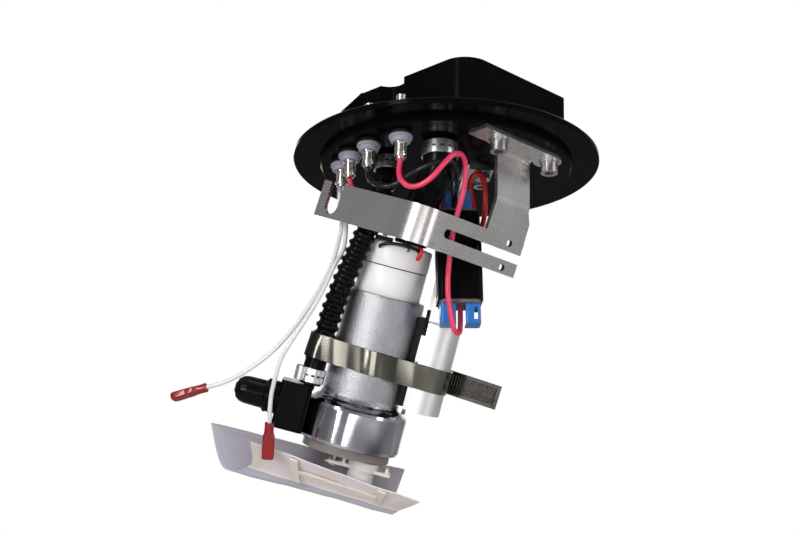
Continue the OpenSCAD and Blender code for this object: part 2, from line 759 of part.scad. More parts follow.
module clamp_housing() {
    color([0.6, 0.59, 0.56]) pump_frame() translate([0, 0, band_z]) rotate([0, band_tilt, 0])
        translate([housing_x, housing_y, 0]) rotate([0, 0, housing_turn]) difference() {
            union() {
                translate([-8, band_t + 0.1, -7]) cube([16, 1, 14]);
                translate([-8, band_t + 4.6, 0]) rotate([0, 90, 0]) cylinder(h = 16, d = 8);
                translate([-8, band_t + 0.1, -4]) cube([16, 4.5, 8]);
            }
            translate([-9, band_t + 4.6, 0]) rotate([0, 90, 0]) cylinder(h = 18, d = 6.2);
        }
}

module clamp_screw() {
    color([0.75, 0.74, 0.7]) pump_frame() translate([0, 0, band_z]) rotate([0, band_tilt, 0])
        translate([housing_x, housing_y, 0]) rotate([0, 0, housing_turn])
            translate([0, band_t + 4.6, 0]) rotate([0, 90, 0]) {
            translate([0, 0, -9]) cylinder(h = 18, d = 6);
            translate([0, 0, 9]) difference() {
                hex(7, 4.5);
                translate([-4, -0.5, 3.2]) cube([8, 1, 2]);
            }
            translate([0, 0, 8.2]) cylinder(h = 0.8, d = 8);
        }
}

// Pump shell: rolled top edge, plain barrel, swelled neck and the wide collar, rolled in at its foot
module pump_shell() {
    inner = body_r - body_wall;
    collar_in = collar_r - body_wall;
    neck_top = -body_l + 2;
    color([0.72, 0.72, 0.74]) pump_frame() rotate_extrude($fn = 96) polygon([
        [inner - 1.2, 0], [body_r - 0.9, 0], [body_r - 0.2, -0.4], [body_r, -1.1], [body_r, neck_top],
        [body_r + 0.8, neck_top - 2.2], [body_r + 2.4, neck_top - 3.6], [collar_r - 1.6, neck_top - 4.8],
        [collar_r - 0.4, neck_top - 5.6], [collar_r, neck_top - 7], [collar_r, collar_foot + 2],
        [collar_r - 0.6, collar_foot + 0.6], [collar_r - 2, collar_foot], [collar_in - 2, collar_foot],
        [collar_in - 2, collar_foot + 1], [collar_in, collar_foot + 1], [collar_in, plate_top],
        [inner, plate_top], [inner, -1], [inner - 1.2, -1]]);
}

// White top cap, spigoted into the shell, with bores for bearing, brushes and valves
module pump_cap() {
    inner = body_r - body_wall;
    color([0.95, 0.94, 0.92]) pump_frame() difference() {
        union() {
            translate([0, 0, -6]) cylinder(h = 5, r = inner - run_fit);
            translate([0, 0, -1]) cylinder(h = seam_h + 1, d = cap_d);
        }
        translate([0, 0, -7]) cylinder(h = 5, d = commutator_d + 4);
        translate([0, 0, -2 - cut]) cylinder(h = upper_bearing_z + bearing_h + 2 + cut, d = bearing_d);
        for (s = [-1, 1]) translate([s * brush_x - 2, -3, -3]) cube([4, 6, 14]);
        translate([relief_at[0], relief_at[1], -3]) cylinder(h = 8, d = 3);
        translate([relief_at[0], relief_at[1], 5]) cylinder(h = 20, d = valve_bore_d);
        translate([outlet_at[0], outlet_at[1], -3]) cylinder(h = 30, d = 5);
        for (a = [200, 250, 290, 340]) rotate([0, 0, a]) translate([cap_d / 2 - 0.3, 0, seam_h / 2])
            cube([1, 0.8, seam_h - 3], center = true);
    }
}

// Lid above the seam: edge bead, shallow dome, outlet nipple and plug socket
module pump_lid() {
    color([0.95, 0.94, 0.92]) pump_frame() difference() {
        union() {
            translate([0, 0, seam_h + 0.4]) rotate_extrude() polygon([
                [0, 0], [cap_d / 2 - 0.4, 0], [cap_d / 2 - 0.4, cap_h - seam_h - 2.4],
                [cap_d / 2 - 1.4, cap_h - seam_h - 0.9], [cap_d / 2 - 3, cap_h - seam_h - 0.4],
                [0, cap_h - seam_h - 0.4]]);
            translate([0, 0, seam_h]) cylinder(h = 0.4, d = cap_d - 2);
            translate([outlet_at[0], outlet_at[1], seam_h + 1])
                cylinder(h = cap_h + outlet_h - seam_h - 1, d = feed_id - 1);
            translate([outlet_at[0], outlet_at[1], cap_h + outlet_h - 3])
                cylinder(h = 2.4, d1 = feed_id, d2 = feed_id - 1);
        }
        translate([outlet_at[0], outlet_at[1], 0]) cylinder(h = 60, d = 3.4);
        translate([outlet_at[0], outlet_at[1], check_seat_z]) cylinder(h = 60, d = valve_bore_d);
        translate([relief_at[0], relief_at[1], seam_h - cut]) cylinder(h = 2, d = valve_bore_d);
        translate([relief_at[0], relief_at[1], seam_h]) cylinder(h = 20, d = 2.5);
        translate([plug_at[0] - 4.5, plug_at[1] - 3, cap_h - 3]) cube([9, 6, 10]);
    }
}
plug_at = [-8, -5];

// Check valve poppet that lifts off its seat in the outlet nipple
module check_valve() {
    color([0.2, 0.2, 0.2]) pump_frame() translate([outlet_at[0], outlet_at[1], check_seat_z]) {
        cylinder(h = 1.2, d = valve_bore_d - 1);
        translate([0, 0, 1.2]) cylinder(h = 3, d = 2.4);
    }
}

// A coil spring drawn as its turns
module spring(d, wire_d, length, turns) {
    for (k = [0 : turns - 1]) translate([0, 0, wire_d / 2 + (length - wire_d) * k / (turns - 1)])
        rotate_extrude($fn = 32) translate([(d - wire_d) / 2, 0]) circle(d = wire_d, $fn = 16);
}

module check_spring() {
    color([0.7, 0.7, 0.7]) pump_frame()
        translate([outlet_at[0], outlet_at[1], check_seat_z + 1.2 + check_travel + 0.3])
            spring(valve_bore_d - 0.4, 0.5, 4, 4);
}

module relief_valve() {
    color([0.75, 0.72, 0.6]) pump_frame() translate([relief_at[0], relief_at[1], 5])
        union() {
            cylinder(h = 1.4, d = valve_bore_d - 1);
            translate([0, 0, 1.4]) cylinder(h = 3, d = 2.4);
        }
}

module relief_spring() {
    color([0.7, 0.7, 0.7]) pump_frame()
        translate([relief_at[0], relief_at[1], 5 + 1.4 + relief_travel + 0.3]) spring(valve_bore_d - 0.4, 0.5, 10, 6);
}

// Two curved magnets against the shell's bore
module magnets() {
    outer = body_r - body_wall;
    color([0.25, 0.25, 0.27]) pump_frame() translate([0, 0, magnet_top - magnet_l]) difference() {
        cylinder(h = magnet_l, r = outer - run_fit);
        translate([0, 0, -cut]) cylinder(h = magnet_l + 2 * cut, r = outer - magnet_t);
        for (s = [0, 1]) rotate([0, 0, 180 * s]) translate([-30, -4, -cut]) cube([60, 8, magnet_l + 2 * cut]);
    }
}

// Slotted iron core with the winding heads above and below it
module armature() {
    core_r = body_r - body_wall - magnet_t - air_gap;
    color([0.6, 0.4, 0.25]) pump_frame() translate([0, 0, armature_top - armature_l]) difference() {
        union() {
            cylinder(h = armature_l, r = core_r);
            translate([0, 0, -3]) cylinder(h = armature_l + 4, r = core_r - 3);
        }
        translate([0, 0, -10]) cylinder(h = 60, d = shaft_d);
        for (k = [0 : slot_count - 1]) rotate([0, 0, 360 * k / slot_count])
            translate([core_r - 3, -1, -cut]) cube([5, 2, armature_l + 2 * cut]);
    }
}

module shaft() {
    color([0.8, 0.8, 0.82]) pump_frame() translate([0, 0, impeller_z - 3])
        cylinder(h = upper_bearing_z + bearing_h - impeller_z + 3 - 0.5, d = shaft_d);
}

module commutator() {
    color([0.75, 0.5, 0.3]) pump_frame() translate([0, 0, commutator_z]) difference() {
        cylinder(h = commutator_h, d = commutator_d);
        translate([0, 0, -cut]) cylinder(h = 10, d = shaft_d);
        for (k = [0 : 3]) rotate([0, 0, 45 * k]) translate([-15, -0.3, commutator_h - 1]) cube([30, 0.6, 2]);
    }
}

// Carbon brushes that bear on the commutator's face
module brushes() {
    brush_foot = commutator_z + commutator_h + run_fit;
    color([0.2, 0.2, 0.2]) pump_frame() for (s = [-1, 1])
        translate([s * brush_x - 1.7, -2.7, brush_foot]) cube([3.4, 5.4, 8]);
}

module brush_springs() {
    color([0.7, 0.7, 0.7]) pump_frame() for (s = [-1, 1])
        translate([s * brush_x, 0, commutator_z + commutator_h + 8 + 2 * run_fit]) spring(3, 0.5, 7.5, 5);
}

module upper_bearing() {
    color([0.6, 0.55, 0.45]) pump_frame() translate([0, 0, upper_bearing_z])
        ring(bearing_d - 2 * run_fit, shaft_d + 2 * run_fit, bearing_h);
}

module lower_bearing() {
    color([0.6, 0.55, 0.45]) pump_frame() translate([0, 0, lower_bearing_z - bearing_h])
        ring(bearing_d - 2 * run_fit, shaft_d + 2 * run_fit, bearing_h);
}

// Turbine wheel with vanes round its rim
module impeller() {
    color([0.85, 0.8, 0.65]) pump_frame() translate([0, 0, impeller_z]) difference() {
        cylinder(h = impeller_t, d = impeller_d);
        translate([0, 0, -cut]) cylinder(h = 10, d = shaft_d);
        for (k = [0 : vane_count - 1]) rotate([0, 0, 360 * k / vane_count])
            translate([impeller_d / 2 - 2.2, -0.8, -cut]) cube([4, 1.6, impeller_t + 2 * cut]);
    }
}

// Upper half of the pump chamber, with the lower bearing's seat and the outlet window
module outlet_plate() {
    foot = impeller_z - impeller_clear;
    collar_in = collar_r - body_wall;
    color([0.7, 0.7, 0.72]) pump_frame() difference() {
        union() {
            translate([0, 0, foot]) cylinder(h = plate_top - foot, r = collar_in - run_fit);
            translate([0, 0, plate_top]) cylinder(h = lower_bearing_z + 1 - plate_top, r = 10);
        }
        translate([0, 0, foot - cut]) cylinder(h = cut + impeller_t + 2 * impeller_clear, d = impeller_d + 0.6);
        translate([0, 0, lower_bearing_z - bearing_h]) cylinder(h = 20, d = bearing_d);
        translate([0, 0, foot]) cylinder(h = 20, d = shaft_d + 1);
        rotate([0, 0, 200]) translate([13.5, 0, foot]) cylinder(h = 20, d = 5);
    }
}

// Lower half of the chamber, held by the rolled foot of the collar, with the inlet nozzle
module inlet_plate() {
    top = impeller_z - impeller_clear;
    collar_in = collar_r - body_wall;
    color([0.42, 0.41, 0.4]) pump_frame() difference() {
        union() {
            translate([0, 0, inlet_foot]) cylinder(h = top - inlet_foot, r = collar_in - run_fit);
            translate([0, 0, collar_foot - 0.4]) cylinder(h = 1.4, r = collar_in - 2 - run_fit);
            translate([inlet_at[0], inlet_at[1], collar_foot - 9]) cylinder(h = 10, d = inlet_d);
            translate([inlet_at[0] - 14, inlet_at[1], collar_foot - 10.6]) cylinder(h = 11.6, d = 3);
        }
        translate([0, 0, top - 3.2]) cylinder(h = 4, d = shaft_d + 1);
        translate([inlet_at[0], inlet_at[1], collar_foot - 20]) cylinder(h = 40, d = inlet_d - 3);
    }
}

// Flat ring under the collar
module base_ring() {
    color([0.5, 0.46, 0.42]) pump_frame() translate([0, 0, collar_foot - 4]) difference() {
        cylinder(h = 3.6, r = collar_r - 3.6);
        translate([0, 0, -cut]) cylinder(h = 6, r = collar_r - 6);
    }
}

// Moulded neck of the sock, pushed over the inlet nozzle
module sock_neck() {
    color([0.93, 0.92, 0.88]) pump_frame() translate([inlet_at[0], inlet_at[1], collar_foot]) difference() {
        union() {
            translate([0, 0, -9]) cylinder(h = 4.4, d = inlet_d + 3.6);
            translate([0, 0, -15.5]) cylinder(h = 7, d = inlet_d + 1);
            translate([-17, -5, -9]) cube([31, 10, 1.6]);
            for (x = [-9.5, 12]) translate([x - 0.8, -5, -9]) cube([1.6, 10, 4]);
        }
        translate([0, 0, -9]) cylinder(h = 20, d = inlet_d + 2 * run_fit);
        translate([0, 0, -20]) cylinder(h = 20, d = inlet_d - 3);
        translate([-14, 0, -20]) cylinder(h = 30, d = 3 + 2 * run_fit);
    }
}

// Push-on clip that locks the neck to the pin beside the nozzle
module sock_clip() {
    color([0.3, 0.3, 0.31]) pump_frame() translate([inlet_at[0] - 14, inlet_at[1], collar_foot]) difference() {
        translate([0, 0, -9.8]) cylinder(h = 0.8, d = 9, $fn = 32);
        translate([0, 0, -20]) cylinder(h = 30, d = 3);
        for (a = [0, 60, 120]) rotate([0, 0, a]) translate([-0.4, -3.4, -12]) cube([0.8, 6.8, 5]);
    }
}

// A flat leaf between two edges given by their end points, thick towards the back
module leaf(a, b, c, d, back) {
    polyhedron([a, b, c, d, a + back, b + back, c + back, d + back],
               [[2, 1, 0], [3, 2, 0], [4, 5, 6], [4, 6, 7], [1, 5, 4], [0, 1, 4], [2, 6, 5], [1, 2, 5],
                [3, 7, 6], [2, 3, 6], [0, 4, 7], [3, 0, 7]]);
}

// Sock: a mesh pouch that stands open upwards like a trough, given by its section at both ends
module filter_sock() {
    ends = [[[sock_left, 13.5, -8.5], [-56, -5, -25.5], [-43, -9.5, -20], [-45, -23, -7.5]],
            [[31, 16, -7], [29, -5, -25.5], [34, -8.5, -22.5], [sock_right, -20, -15.5]]];
    inward = [[0, -sock_t * 0.7, 0.3], [0, -0.6, sock_t * 0.8], [0, 1.6, sock_t * 0.55],
              [0, sock_t * 0.7, 0.4]];
    points = [for (e = ends) each concat(e, [for (k = [3 : -1 : 0]) e[k] + inward[k]])];
    sides = [for (k = [0 : 7]) each
        [[k, (k + 1) % 8, k + 8], [(k + 1) % 8, (k + 1) % 8 + 8, k + 8]]];
    caps = [for (k = [0 : 2]) each
        [[k, 7 - k, k + 1], [k + 1, 7 - k, 6 - k], [k + 8, k + 9, 15 - k], [k + 9, 14 - k, 15 - k]]];
    color([0.93, 0.92, 0.88]) pump_frame() translate([0, 0, collar_foot])
        polyhedron(points, concat(sides, caps), convexity = 6);
}

// Moulded stiffener that shows on the front leaf: a rail between two short ribs
module sock_frame() {
    rise = [0, 1.2, 0.9];
    color([0.94, 0.92, 0.84]) pump_frame() translate([0, 0, collar_foot] - rise) {
        leaf([-25, -21.6, -10.2], [-21.5, -10, -21.6], [-17.5, -10, -21.9], [-21, -21.6, -10.6], rise);
        leaf([20, -20.6, -14.4], [18.5, -9.2, -22.2], [22.5, -9.2, -22.6], [24, -20.6, -14.9], rise);
        leaf([-21.8, -16.6, -15.4], [-21.8, -14.6, -17.2], [20, -13.4, -20.2], [20, -15.4, -18.4], rise);
    }
}

// Black elbow fitting at the foot of the corrugated hose, with a side port
hose_foot = [-25, -11.4];
fitting_top = -51;
fitting_h = 23.5;
module return_fitting() {
    color([0.04, 0.04, 0.045]) pump_frame() difference() {
        union() {
            translate([-38.5, -19, fitting_top - fitting_h]) linear_extrude(height = fitting_h)
                translate([8, 8]) round_rect(15.5, 16, 2.5);
            translate([hose_foot[0], hose_foot[1], fitting_top - 2]) cylinder(h = 12, d = return_id - 1);
            translate([hose_foot[0], hose_foot[1], fitting_top + 7.5])
                cylinder(h = 2.2, d1 = return_id - 0.1, d2 = return_id - 1);
            translate([-37, -11, fitting_top - 10]) rotate([0, -90, 0]) cylinder(h = 6, d = 16);
            translate([-37, -11, fitting_top - 10]) rotate([0, -90, 0]) cylinder(h = 17, d = 9);
        }
        translate([0, 0, -120]) cylinder(h = 200, r = collar_r + seat_gap);
        translate([hose_foot[0], hose_foot[1], fitting_top - 10]) cylinder(h = 30, d = 3.5);
        translate([hose_foot[0], -11, fitting_top - 10]) rotate([0, -90, 0]) cylinder(h = 40, d = 5);
    }
}

// Soft cap pushed over the side port
module port_cap() {
    cap_in = 9 + 2 * run_fit;
    color([0.03, 0.03, 0.03]) pump_frame() translate([-43, -11, fitting_top - 10]) rotate([0, -90, 0])
        difference() {
            rotate_extrude() polygon([
                [0, 0], [8.4, 0], [8.4, 1.2], [7, 2.4], [6.8, 11], [6.2, 13.6], [4.6, 15.6], [2.4, 16.7],
                [0, 17]]);
            translate([0, 0, -cut]) cylinder(h = 12.2, d = cap_in);
        }
}

// Moves its children to the connector's middle, upright
module connector_frame() {
    translate([connector_at[0], connector_at[1], 0]) rotate([0, -2, connector_turn]) children();
}

// Sealed in-line connector: two mated halves with a waist and side rails
module connector() {
    length = connector_top - connector_foot;
    color([0.04, 0.04, 0.045]) connector_frame() {
        translate([0, 0, connector_foot]) linear_extrude(height = length)
            round_rect(connector_w - 3, connector_deep - 2, 3);
        translate([0, 0, connector_foot]) linear_extrude(height = 24)
            round_rect(connector_w, connector_deep, 3);
        translate([0, 0, connector_top - 16]) linear_extrude(height = 16)
            round_rect(connector_w - 1, connector_deep - 0.6, 3);
        for (s = [-1, 1]) translate([s * (connector_w / 2 - 0.6) - 0.9, -2, connector_foot + 3])
            cube([1.8, 4, length - 8]);
    }
}

module connector_seal() {
    color([0.5, 0.48, 0.47]) connector_frame() {
        translate([0, 0, connector_foot - 1.6]) linear_extrude(height = 1.6)
            round_rect(connector_w - 2, connector_deep - 2, 3);
        translate([0, 0, connector_top]) linear_extrude(height = 1.6)
            round_rect(connector_w - 3, connector_deep - 3, 3);
    }
}

// A blue lock: wedge block with a slot window
module lock_block(w, h) {
    difference() {
        linear_extrude(height = h) round_rect(w, 9, 1.2);
        translate([w / 2 - 3.4, -10, 2]) cube([1.8, 20, h - 4]);
    }
}

module connector_locks() {
    foot = connector_foot - 1.6;
    color([0.25, 0.5, 0.75]) connector_frame() {
        for (x = [-6, 6]) translate([x, -1, foot - 10]) lock_block(7.4, 10);
        translate([0, 3, connector_top + 1.6]) rotate([90, 0, 0]) linear_extrude(height = 8) {
            polygon([[0.6, 0], [7, 0], [6.4, 10.5], [1.6, 10.5]]);
            polygon([[-6.5, 0], [-3.4, 0], [-3.6, 9.5], [-6, 9.5]]);
        }
    }
}

module pink_lead() {
    color([0.95, 0.3, 0.5]) lead(pink_route, lead_d);
}

module black_lead() {
    color([0.1, 0.1, 0.1]) lead(black_route, lead_d);
}

module red_lead() {
    color([0.85, 0.12, 0.08]) lead(red_route, lead_d);
}

module magenta_lead() {
    color([0.8, 0.1, 0.3]) lead(magenta_route, lead_d);
}

module white_lead_long() {
    color([0.92, 0.92, 0.92]) lead(long_route, sender_lead_d);
}

module white_lead_short() {
    color([0.92, 0.92, 0.92]) lead(short_route, sender_lead_d);
}

// An insulated push-on terminal at the end of a route, along its last stretch
module terminal(route) {
    n = len(route);
    last = route[n - 1];
    dir = unit(last - route[n - 2]);
    tilt = acos(dir[2]);
    turn = atan2(dir[1], dir[0]);
    translate(last) rotate([0, tilt, turn]) {
        cylinder(h = 6, d = terminal_d - 1.4);
        translate([0, 0, 6]) linear_extrude(height = terminal_l - 6) round_rect(4, terminal_d, 1.8);
    }
}

module terminal_long() {
    color([0.6, 0.05, 0.05]) terminal(long_route);
}

module terminal_short() {
    color([0.6, 0.05, 0.05]) terminal(short_route);
}

// Two-way plug in the lid's socket
module pump_plug() {
    color([0.1, 0.1, 0.1]) pump_frame() translate([plug_at[0], plug_at[1], cap_h - 3 + run_fit])
        linear_extrude(height = 5) round_rect(8.8, 5.8, 1);
}

hat();
studs();
stud_insulators_upper();
stud_insulators_lower();
stud_washers();
stud_nuts();
stud_sleeves();
feed_barb();
return_barb();
feed_clamp();
return_clamp();
feed_hose();
return_hose();
fitting_clamp();
bracket();
bracket_screws();
pump_leg();
leg_screws();
isolator_pad();
spacer();
clamp_band();
clamp_housing();
clamp_screw();
pump_shell();
pump_cap();
pump_lid();
check_valve();
check_spring();
relief_valve();
relief_spring();
magnets();
armature();
shaft();
commutator();
brushes();
brush_springs();
upper_bearing();
lower_bearing();
impeller();
outlet_plate();
inlet_plate();
base_ring();
sock_neck();
sock_clip();
filter_sock();
sock_frame();
return_fitting();
port_cap();
connector();
connector_seal();
connector_locks();
pink_lead();
black_lead();
red_lead();
magenta_lead();
white_lead_long();
white_lead_short();
terminal_long();
terminal_short();
pump_plug();
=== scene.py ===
import json
import math

import bpy
import numpy as np
from mathutils import Matrix, Vector


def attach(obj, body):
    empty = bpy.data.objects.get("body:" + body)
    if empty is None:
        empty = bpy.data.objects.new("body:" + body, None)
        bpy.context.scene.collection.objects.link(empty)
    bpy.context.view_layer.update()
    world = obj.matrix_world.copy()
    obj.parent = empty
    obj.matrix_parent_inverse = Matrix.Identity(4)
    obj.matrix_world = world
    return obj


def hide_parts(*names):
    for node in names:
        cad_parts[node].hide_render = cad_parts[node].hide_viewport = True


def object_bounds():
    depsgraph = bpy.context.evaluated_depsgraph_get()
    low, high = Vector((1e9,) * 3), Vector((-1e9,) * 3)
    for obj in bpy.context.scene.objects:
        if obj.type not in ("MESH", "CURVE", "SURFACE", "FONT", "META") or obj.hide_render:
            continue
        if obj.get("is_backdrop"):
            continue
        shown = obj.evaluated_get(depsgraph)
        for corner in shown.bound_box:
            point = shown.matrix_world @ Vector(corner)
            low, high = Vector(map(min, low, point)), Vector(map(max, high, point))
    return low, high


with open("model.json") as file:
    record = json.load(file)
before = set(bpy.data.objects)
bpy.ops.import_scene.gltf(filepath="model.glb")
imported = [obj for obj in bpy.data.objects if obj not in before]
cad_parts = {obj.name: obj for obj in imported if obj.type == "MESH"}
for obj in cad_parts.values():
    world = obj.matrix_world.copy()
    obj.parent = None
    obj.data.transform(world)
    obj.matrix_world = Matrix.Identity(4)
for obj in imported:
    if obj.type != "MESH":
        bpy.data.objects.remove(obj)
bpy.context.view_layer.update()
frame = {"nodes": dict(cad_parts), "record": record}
MM = 0.001


def shown(name, data):
    """A new object in the scene."""
    made = bpy.data.objects.new(name, data)
    bpy.context.scene.collection.objects.link(made)
    return made


# ---- camera, calibrated to the photograph -----------------------------------------------------------

EYE = (-0.02198, -0.8672, -0.3534)
camera_data = bpy.data.cameras.new("camera")
camera_data.sensor_width = 36
camera_data.lens = 83.9
camera_data.clip_start = 0.05
camera_data.clip_end = 50
camera = shown("camera", camera_data)
bpy.context.scene.camera = camera
side = Vector((0.9998, -0.0068, 0.0198)).normalized()
ahead = Vector((0.0, 0.9455, 0.3256)).normalized()
side = (side - ahead * side.dot(ahead)).normalized()
above = side.cross(ahead)
camera.matrix_world = Matrix((
    (side.x, above.x, -ahead.x, EYE[0]),
    (side.y, above.y, -ahead.y, EYE[1]),
    (side.z, above.z, -ahead.z, EYE[2]),
    (0, 0, 0, 1),
))

# ---- places: the bracket's tilted frame and the pump's own frame, as in the source ------------------


def turn(axis, degrees):
    return Matrix.Rotation(math.radians(degrees), 4, axis)


def shift(x, y, z):
    return Matrix.Translation(Vector((x, y, z)) * MM)


def polar(radius, degrees):
    return radius * math.cos(math.radians(degrees)), radius * math.sin(math.radians(degrees))


STRIP_OUT, FOLD_DROP = 41, 30
BRACKET_TURN, FOLD_ANGLE = 45, 24
PUMP_ALONG, PUMP_BACK, PUMP_DROP = -18, 42, 61
PUMP_SWING, ROW_TURN = 4.3, 42
strip_back, strip_side = polar(STRIP_OUT, BRACKET_TURN)
bracket_place = shift(strip_side, -strip_back, -FOLD_DROP) @ turn("Z", BRACKET_TURN) @ turn("X", FOLD_ANGLE)
pump_place = (
    bracket_place @ shift(PUMP_ALONG, PUMP_BACK, -PUMP_DROP) @ turn("Y", -PUMP_SWING) @ turn("Z", -ROW_TURN)
)

# ---- shader maths -----------------------------------------------------------------------------------


class Value:
    """A socket that Python expressions can be made with."""

    def __init__(self, paint, socket):
        self.paint = paint
        self.socket = socket

    def _maths(self, operation, *values):
        return self.paint.node("Math", {"operation": operation}, *values)

    def __add__(self, other):
        return self._maths("ADD", self, other)

    __radd__ = __add__

    def __sub__(self, other):
        return self._maths("SUBTRACT", self, other)

    def __rsub__(self, other):
        return self._maths("SUBTRACT", other, self)

    def __mul__(self, other):
        return self._maths("MULTIPLY", self, other)

    __rmul__ = __mul__

    def __pow__(self, other):
        return self._maths("POWER", self, other)

    def sine(self):
        return self._maths("SINE", self)

    def clamped(self):
        return self.paint.node("Clamp", {}, self)


class Paint:
    """A material or world whose nodes are made one call at a time."""

    def __init__(self, owner):
        owner.use_nodes = True
        self.tree = owner.node_tree
        self.tree.nodes.clear()

    def node(self, kind, settings, *values, output=0, **named):
        made = self.tree.nodes.new("ShaderNode" + kind)
        for key, value in settings.items():
            if key == "stops":
                ramp = made.color_ramp
                while len(ramp.elements) < len(value):
                    ramp.elements.new(0.5)
                for element, (place, colour) in zip(ramp.elements, value):
                    element.position = place
                    element.color = (*colour, 1)
            else:
                setattr(made, key, value)
        for index, value in list(enumerate(values)) + list(named.items()):
            if isinstance(index, str):
                index = index.replace("_", " ")
            self.feed(made.inputs[index], value)
        return Value(self, made.outputs[output]) if made.outputs else None

    def feed(self, socket, value):
        if isinstance(value, Value):
            self.tree.links.new(value.socket, socket)
        elif value is not None:
            if hasattr(value, "__len__") and len(value) == 3 and socket.type == "RGBA":
                value = (*value, 1)
            socket.default_value = value

    def place(self):
        return self.node("TexCoord", {}, output=3)

    def stretched(self, scale, turned=(0, 0, 0)):
        return self.node("Mapping", {}, self.place(), None, turned, scale)

    def cloud(self, scale, detail=4, at=None, roughness=0.5):
        at = at or self.place()
        return self.node("TexNoise", {}, at, None, scale, detail, roughness)

    def part(self, vector, name):
        return self.node("SeparateXYZ", {}, vector, output="xyz".index(name))

    def blend(self, share, first, second):
        return self.node(
            "Mix", {"data_type": "RGBA"}, share, None, None, None, None, None, first, second, output=2
        )

    def ramp(self, value, *stops):
        return self.node("ValToRGB", {"stops": stops}, value)

    def span(self, value, low, high, to_low=0.0, to_high=1.0):
        return self.node("MapRange", {}, value, low, high, to_low, to_high)

    def bump(self, height, strength, depth):
        return self.node("Bump", {}, strength, depth, Height=height)

    def surface(self, **sockets):
        self.node("OutputMaterial", {}, self.node("BsdfPrincipled", {}, **sockets))


def material(name):
    made = bpy.data.materials.new(name)
    return made, Paint(made)


# ---- finishes: lengths in metres, grain and waves per metre -----------------------------------------

PUMP_LEAN = (0.25, 0.3, 0)  # radians that turn a grain along the pump's axis
SCRATCHES = (160, 160, 2600)


def black_anodised():
    """Turned and anodised cover: fine rings about its centre, faint smudges."""
    made, p = material("black_anodised")
    at = p.place()
    x, y = p.part(at, "x"), p.part(at, "y")
    ring = (x * x + y * y) ** 0.5
    fine_rings, coarse_rings = (ring * 9000).sine(), (ring * 2100).sine()
    turned_rings = fine_rings * 0.6 + coarse_rings * 0.4
    smudge = p.cloud(24, 5)
    p.surface(
        Base_Color=p.blend(smudge, (0.0012, 0.0012, 0.0014), (0.004, 0.004, 0.0045)),
        Roughness=p.span(smudge, 0.3, 0.7, 0.1, 0.2),
        Specular_IOR_Level=0.02,
        Normal=p.bump(turned_rings * 0.5 + p.cloud(1500, 2) * 0.5, 0.05, 0.0002),
    )
    return made


def steel(name, tone, rough, grain, turned=(0, 0, 0), dark=0.86, strength=0.06):
    """Brushed sheet: long fine scratches along one way of the metal."""
    made, p = material(name)
    lines = p.cloud(1, 3, p.stretched(grain, turned), 0.6)
    fine = p.cloud(1, 2, p.stretched(tuple(3 * g for g in grain), turned), 0.5)
    cloudy = p.cloud(50, 4)
    p.surface(
        Base_Color=p.blend(lines * 0.5 + cloudy * 0.5, tuple(c * dark for c in tone), tone),
        Metallic=1.0,
        Roughness=p.span(lines * 0.5 + cloudy * 0.5, 0.35, 0.65, rough - 0.04, rough + 0.05),
        Normal=p.bump(lines * 0.6 + fine * 0.4, strength, 0.0001),
    )
    return made


def satin_metal(name, tone, rough=0.3, grain=2600, strength=0.05, dark=0.92):
    """Fine-grained bare or plated metal."""
    made, p = material(name)
    spots = p.cloud(grain, 2)
    cloudy = p.cloud(38, 4)
    p.surface(
        Base_Color=p.blend(cloudy, tuple(c * dark for c in tone), tone),
        Metallic=1.0,
        Roughness=p.span(cloudy * 0.7 + spots * 0.3, 0.35, 0.65, rough - 0.03, rough + 0.04),
        Normal=p.bump(spots, strength, 0.0001),
    )
    return made


def plastic(name, tone, rough=0.4, grain=1400, bumpy=0.08, shade=0.85, coat=0.0, glow=0.0, gloss=0.5):
    """Moulded or drawn plastic and rubber."""
    made, p = material(name)
    spots = p.cloud(grain, 3)
    cloudy = p.cloud(55, 4)
    p.surface(
        Base_Color=p.blend(cloudy, tuple(c * shade for c in tone), tone),
        Roughness=p.span(cloudy * 0.6 + spots * 0.4, 0.35, 0.65, rough - 0.05, rough + 0.06),
        Coat_Weight=coat,
        Subsurface_Weight=glow,
        Subsurface_Scale=0.003,
        Specular_IOR_Level=gloss,
        Normal=p.bump(spots, bumpy, 0.0001),
    )
    return made


def black(name, tone=0.006, rough=0.25, bumpy=0.08, gloss=0.1):
    """Black plastic and rubber, a touch blue."""
    return plastic(name, (tone, tone, tone * 1.08), rough, bumpy=bumpy, shade=0.6, gloss=gloss)


def shell_metal():
    """Pump shell: fine-blasted barrel, polished collar below it whose dark and light vertical bands are
    painted reflections.
    """
    made, p = material("shell_aluminium")
    polished_below, blasted_above = -0.0535, -0.0515
    from_top = p.node("VectorMath", {"operation": "SUBTRACT"}, p.place(), pump_place.to_translation())
    axis = pump_place.col[2].to_3d()
    height = p.node("VectorMath", {"operation": "DOT_PRODUCT"}, from_top, axis, output=1)
    polish = p.span(height, polished_below, blasted_above, 1, 0)
    spots, cloudy = p.cloud(1500, 3), p.cloud(38, 4)
    # Noise stretched along the pump's axis: it bumps the collar and also paints its reflection bands
    facet_bumps_and_painted_reflections = p.cloud(1, 0.5, p.stretched((75, 75, 5), PUMP_LEAN), 0.4)
    mixed = cloudy * 0.4 + spots * 0.6
    barrel = p.blend(mixed, (0.24, 0.24, 0.26), (0.52, 0.52, 0.54))
    # Painted reflections: the collar's colour runs from dark to light in bands along the pump's axis
    painted_reflection_tone = p.ramp(facet_bumps_and_painted_reflections * 0.8 + cloudy * 0.2, (0.38, (0.16, 0.16, 0.19)), (0.62, (0.72, 0.72, 0.77)))
    p.surface(
        Base_Color=p.blend(polish, barrel, painted_reflection_tone),
        Metallic=1.0,
        Roughness=p.span(mixed, 0.35, 0.65, 0.27, 0.36) * (1 - polish) + polish * 0.1,
        Normal=p.bump(spots * (1 - polish * 0.98) * 0.12 + facet_bumps_and_painted_reflections * polish * 0.45, 0.5, 0.005),
    )
    return made


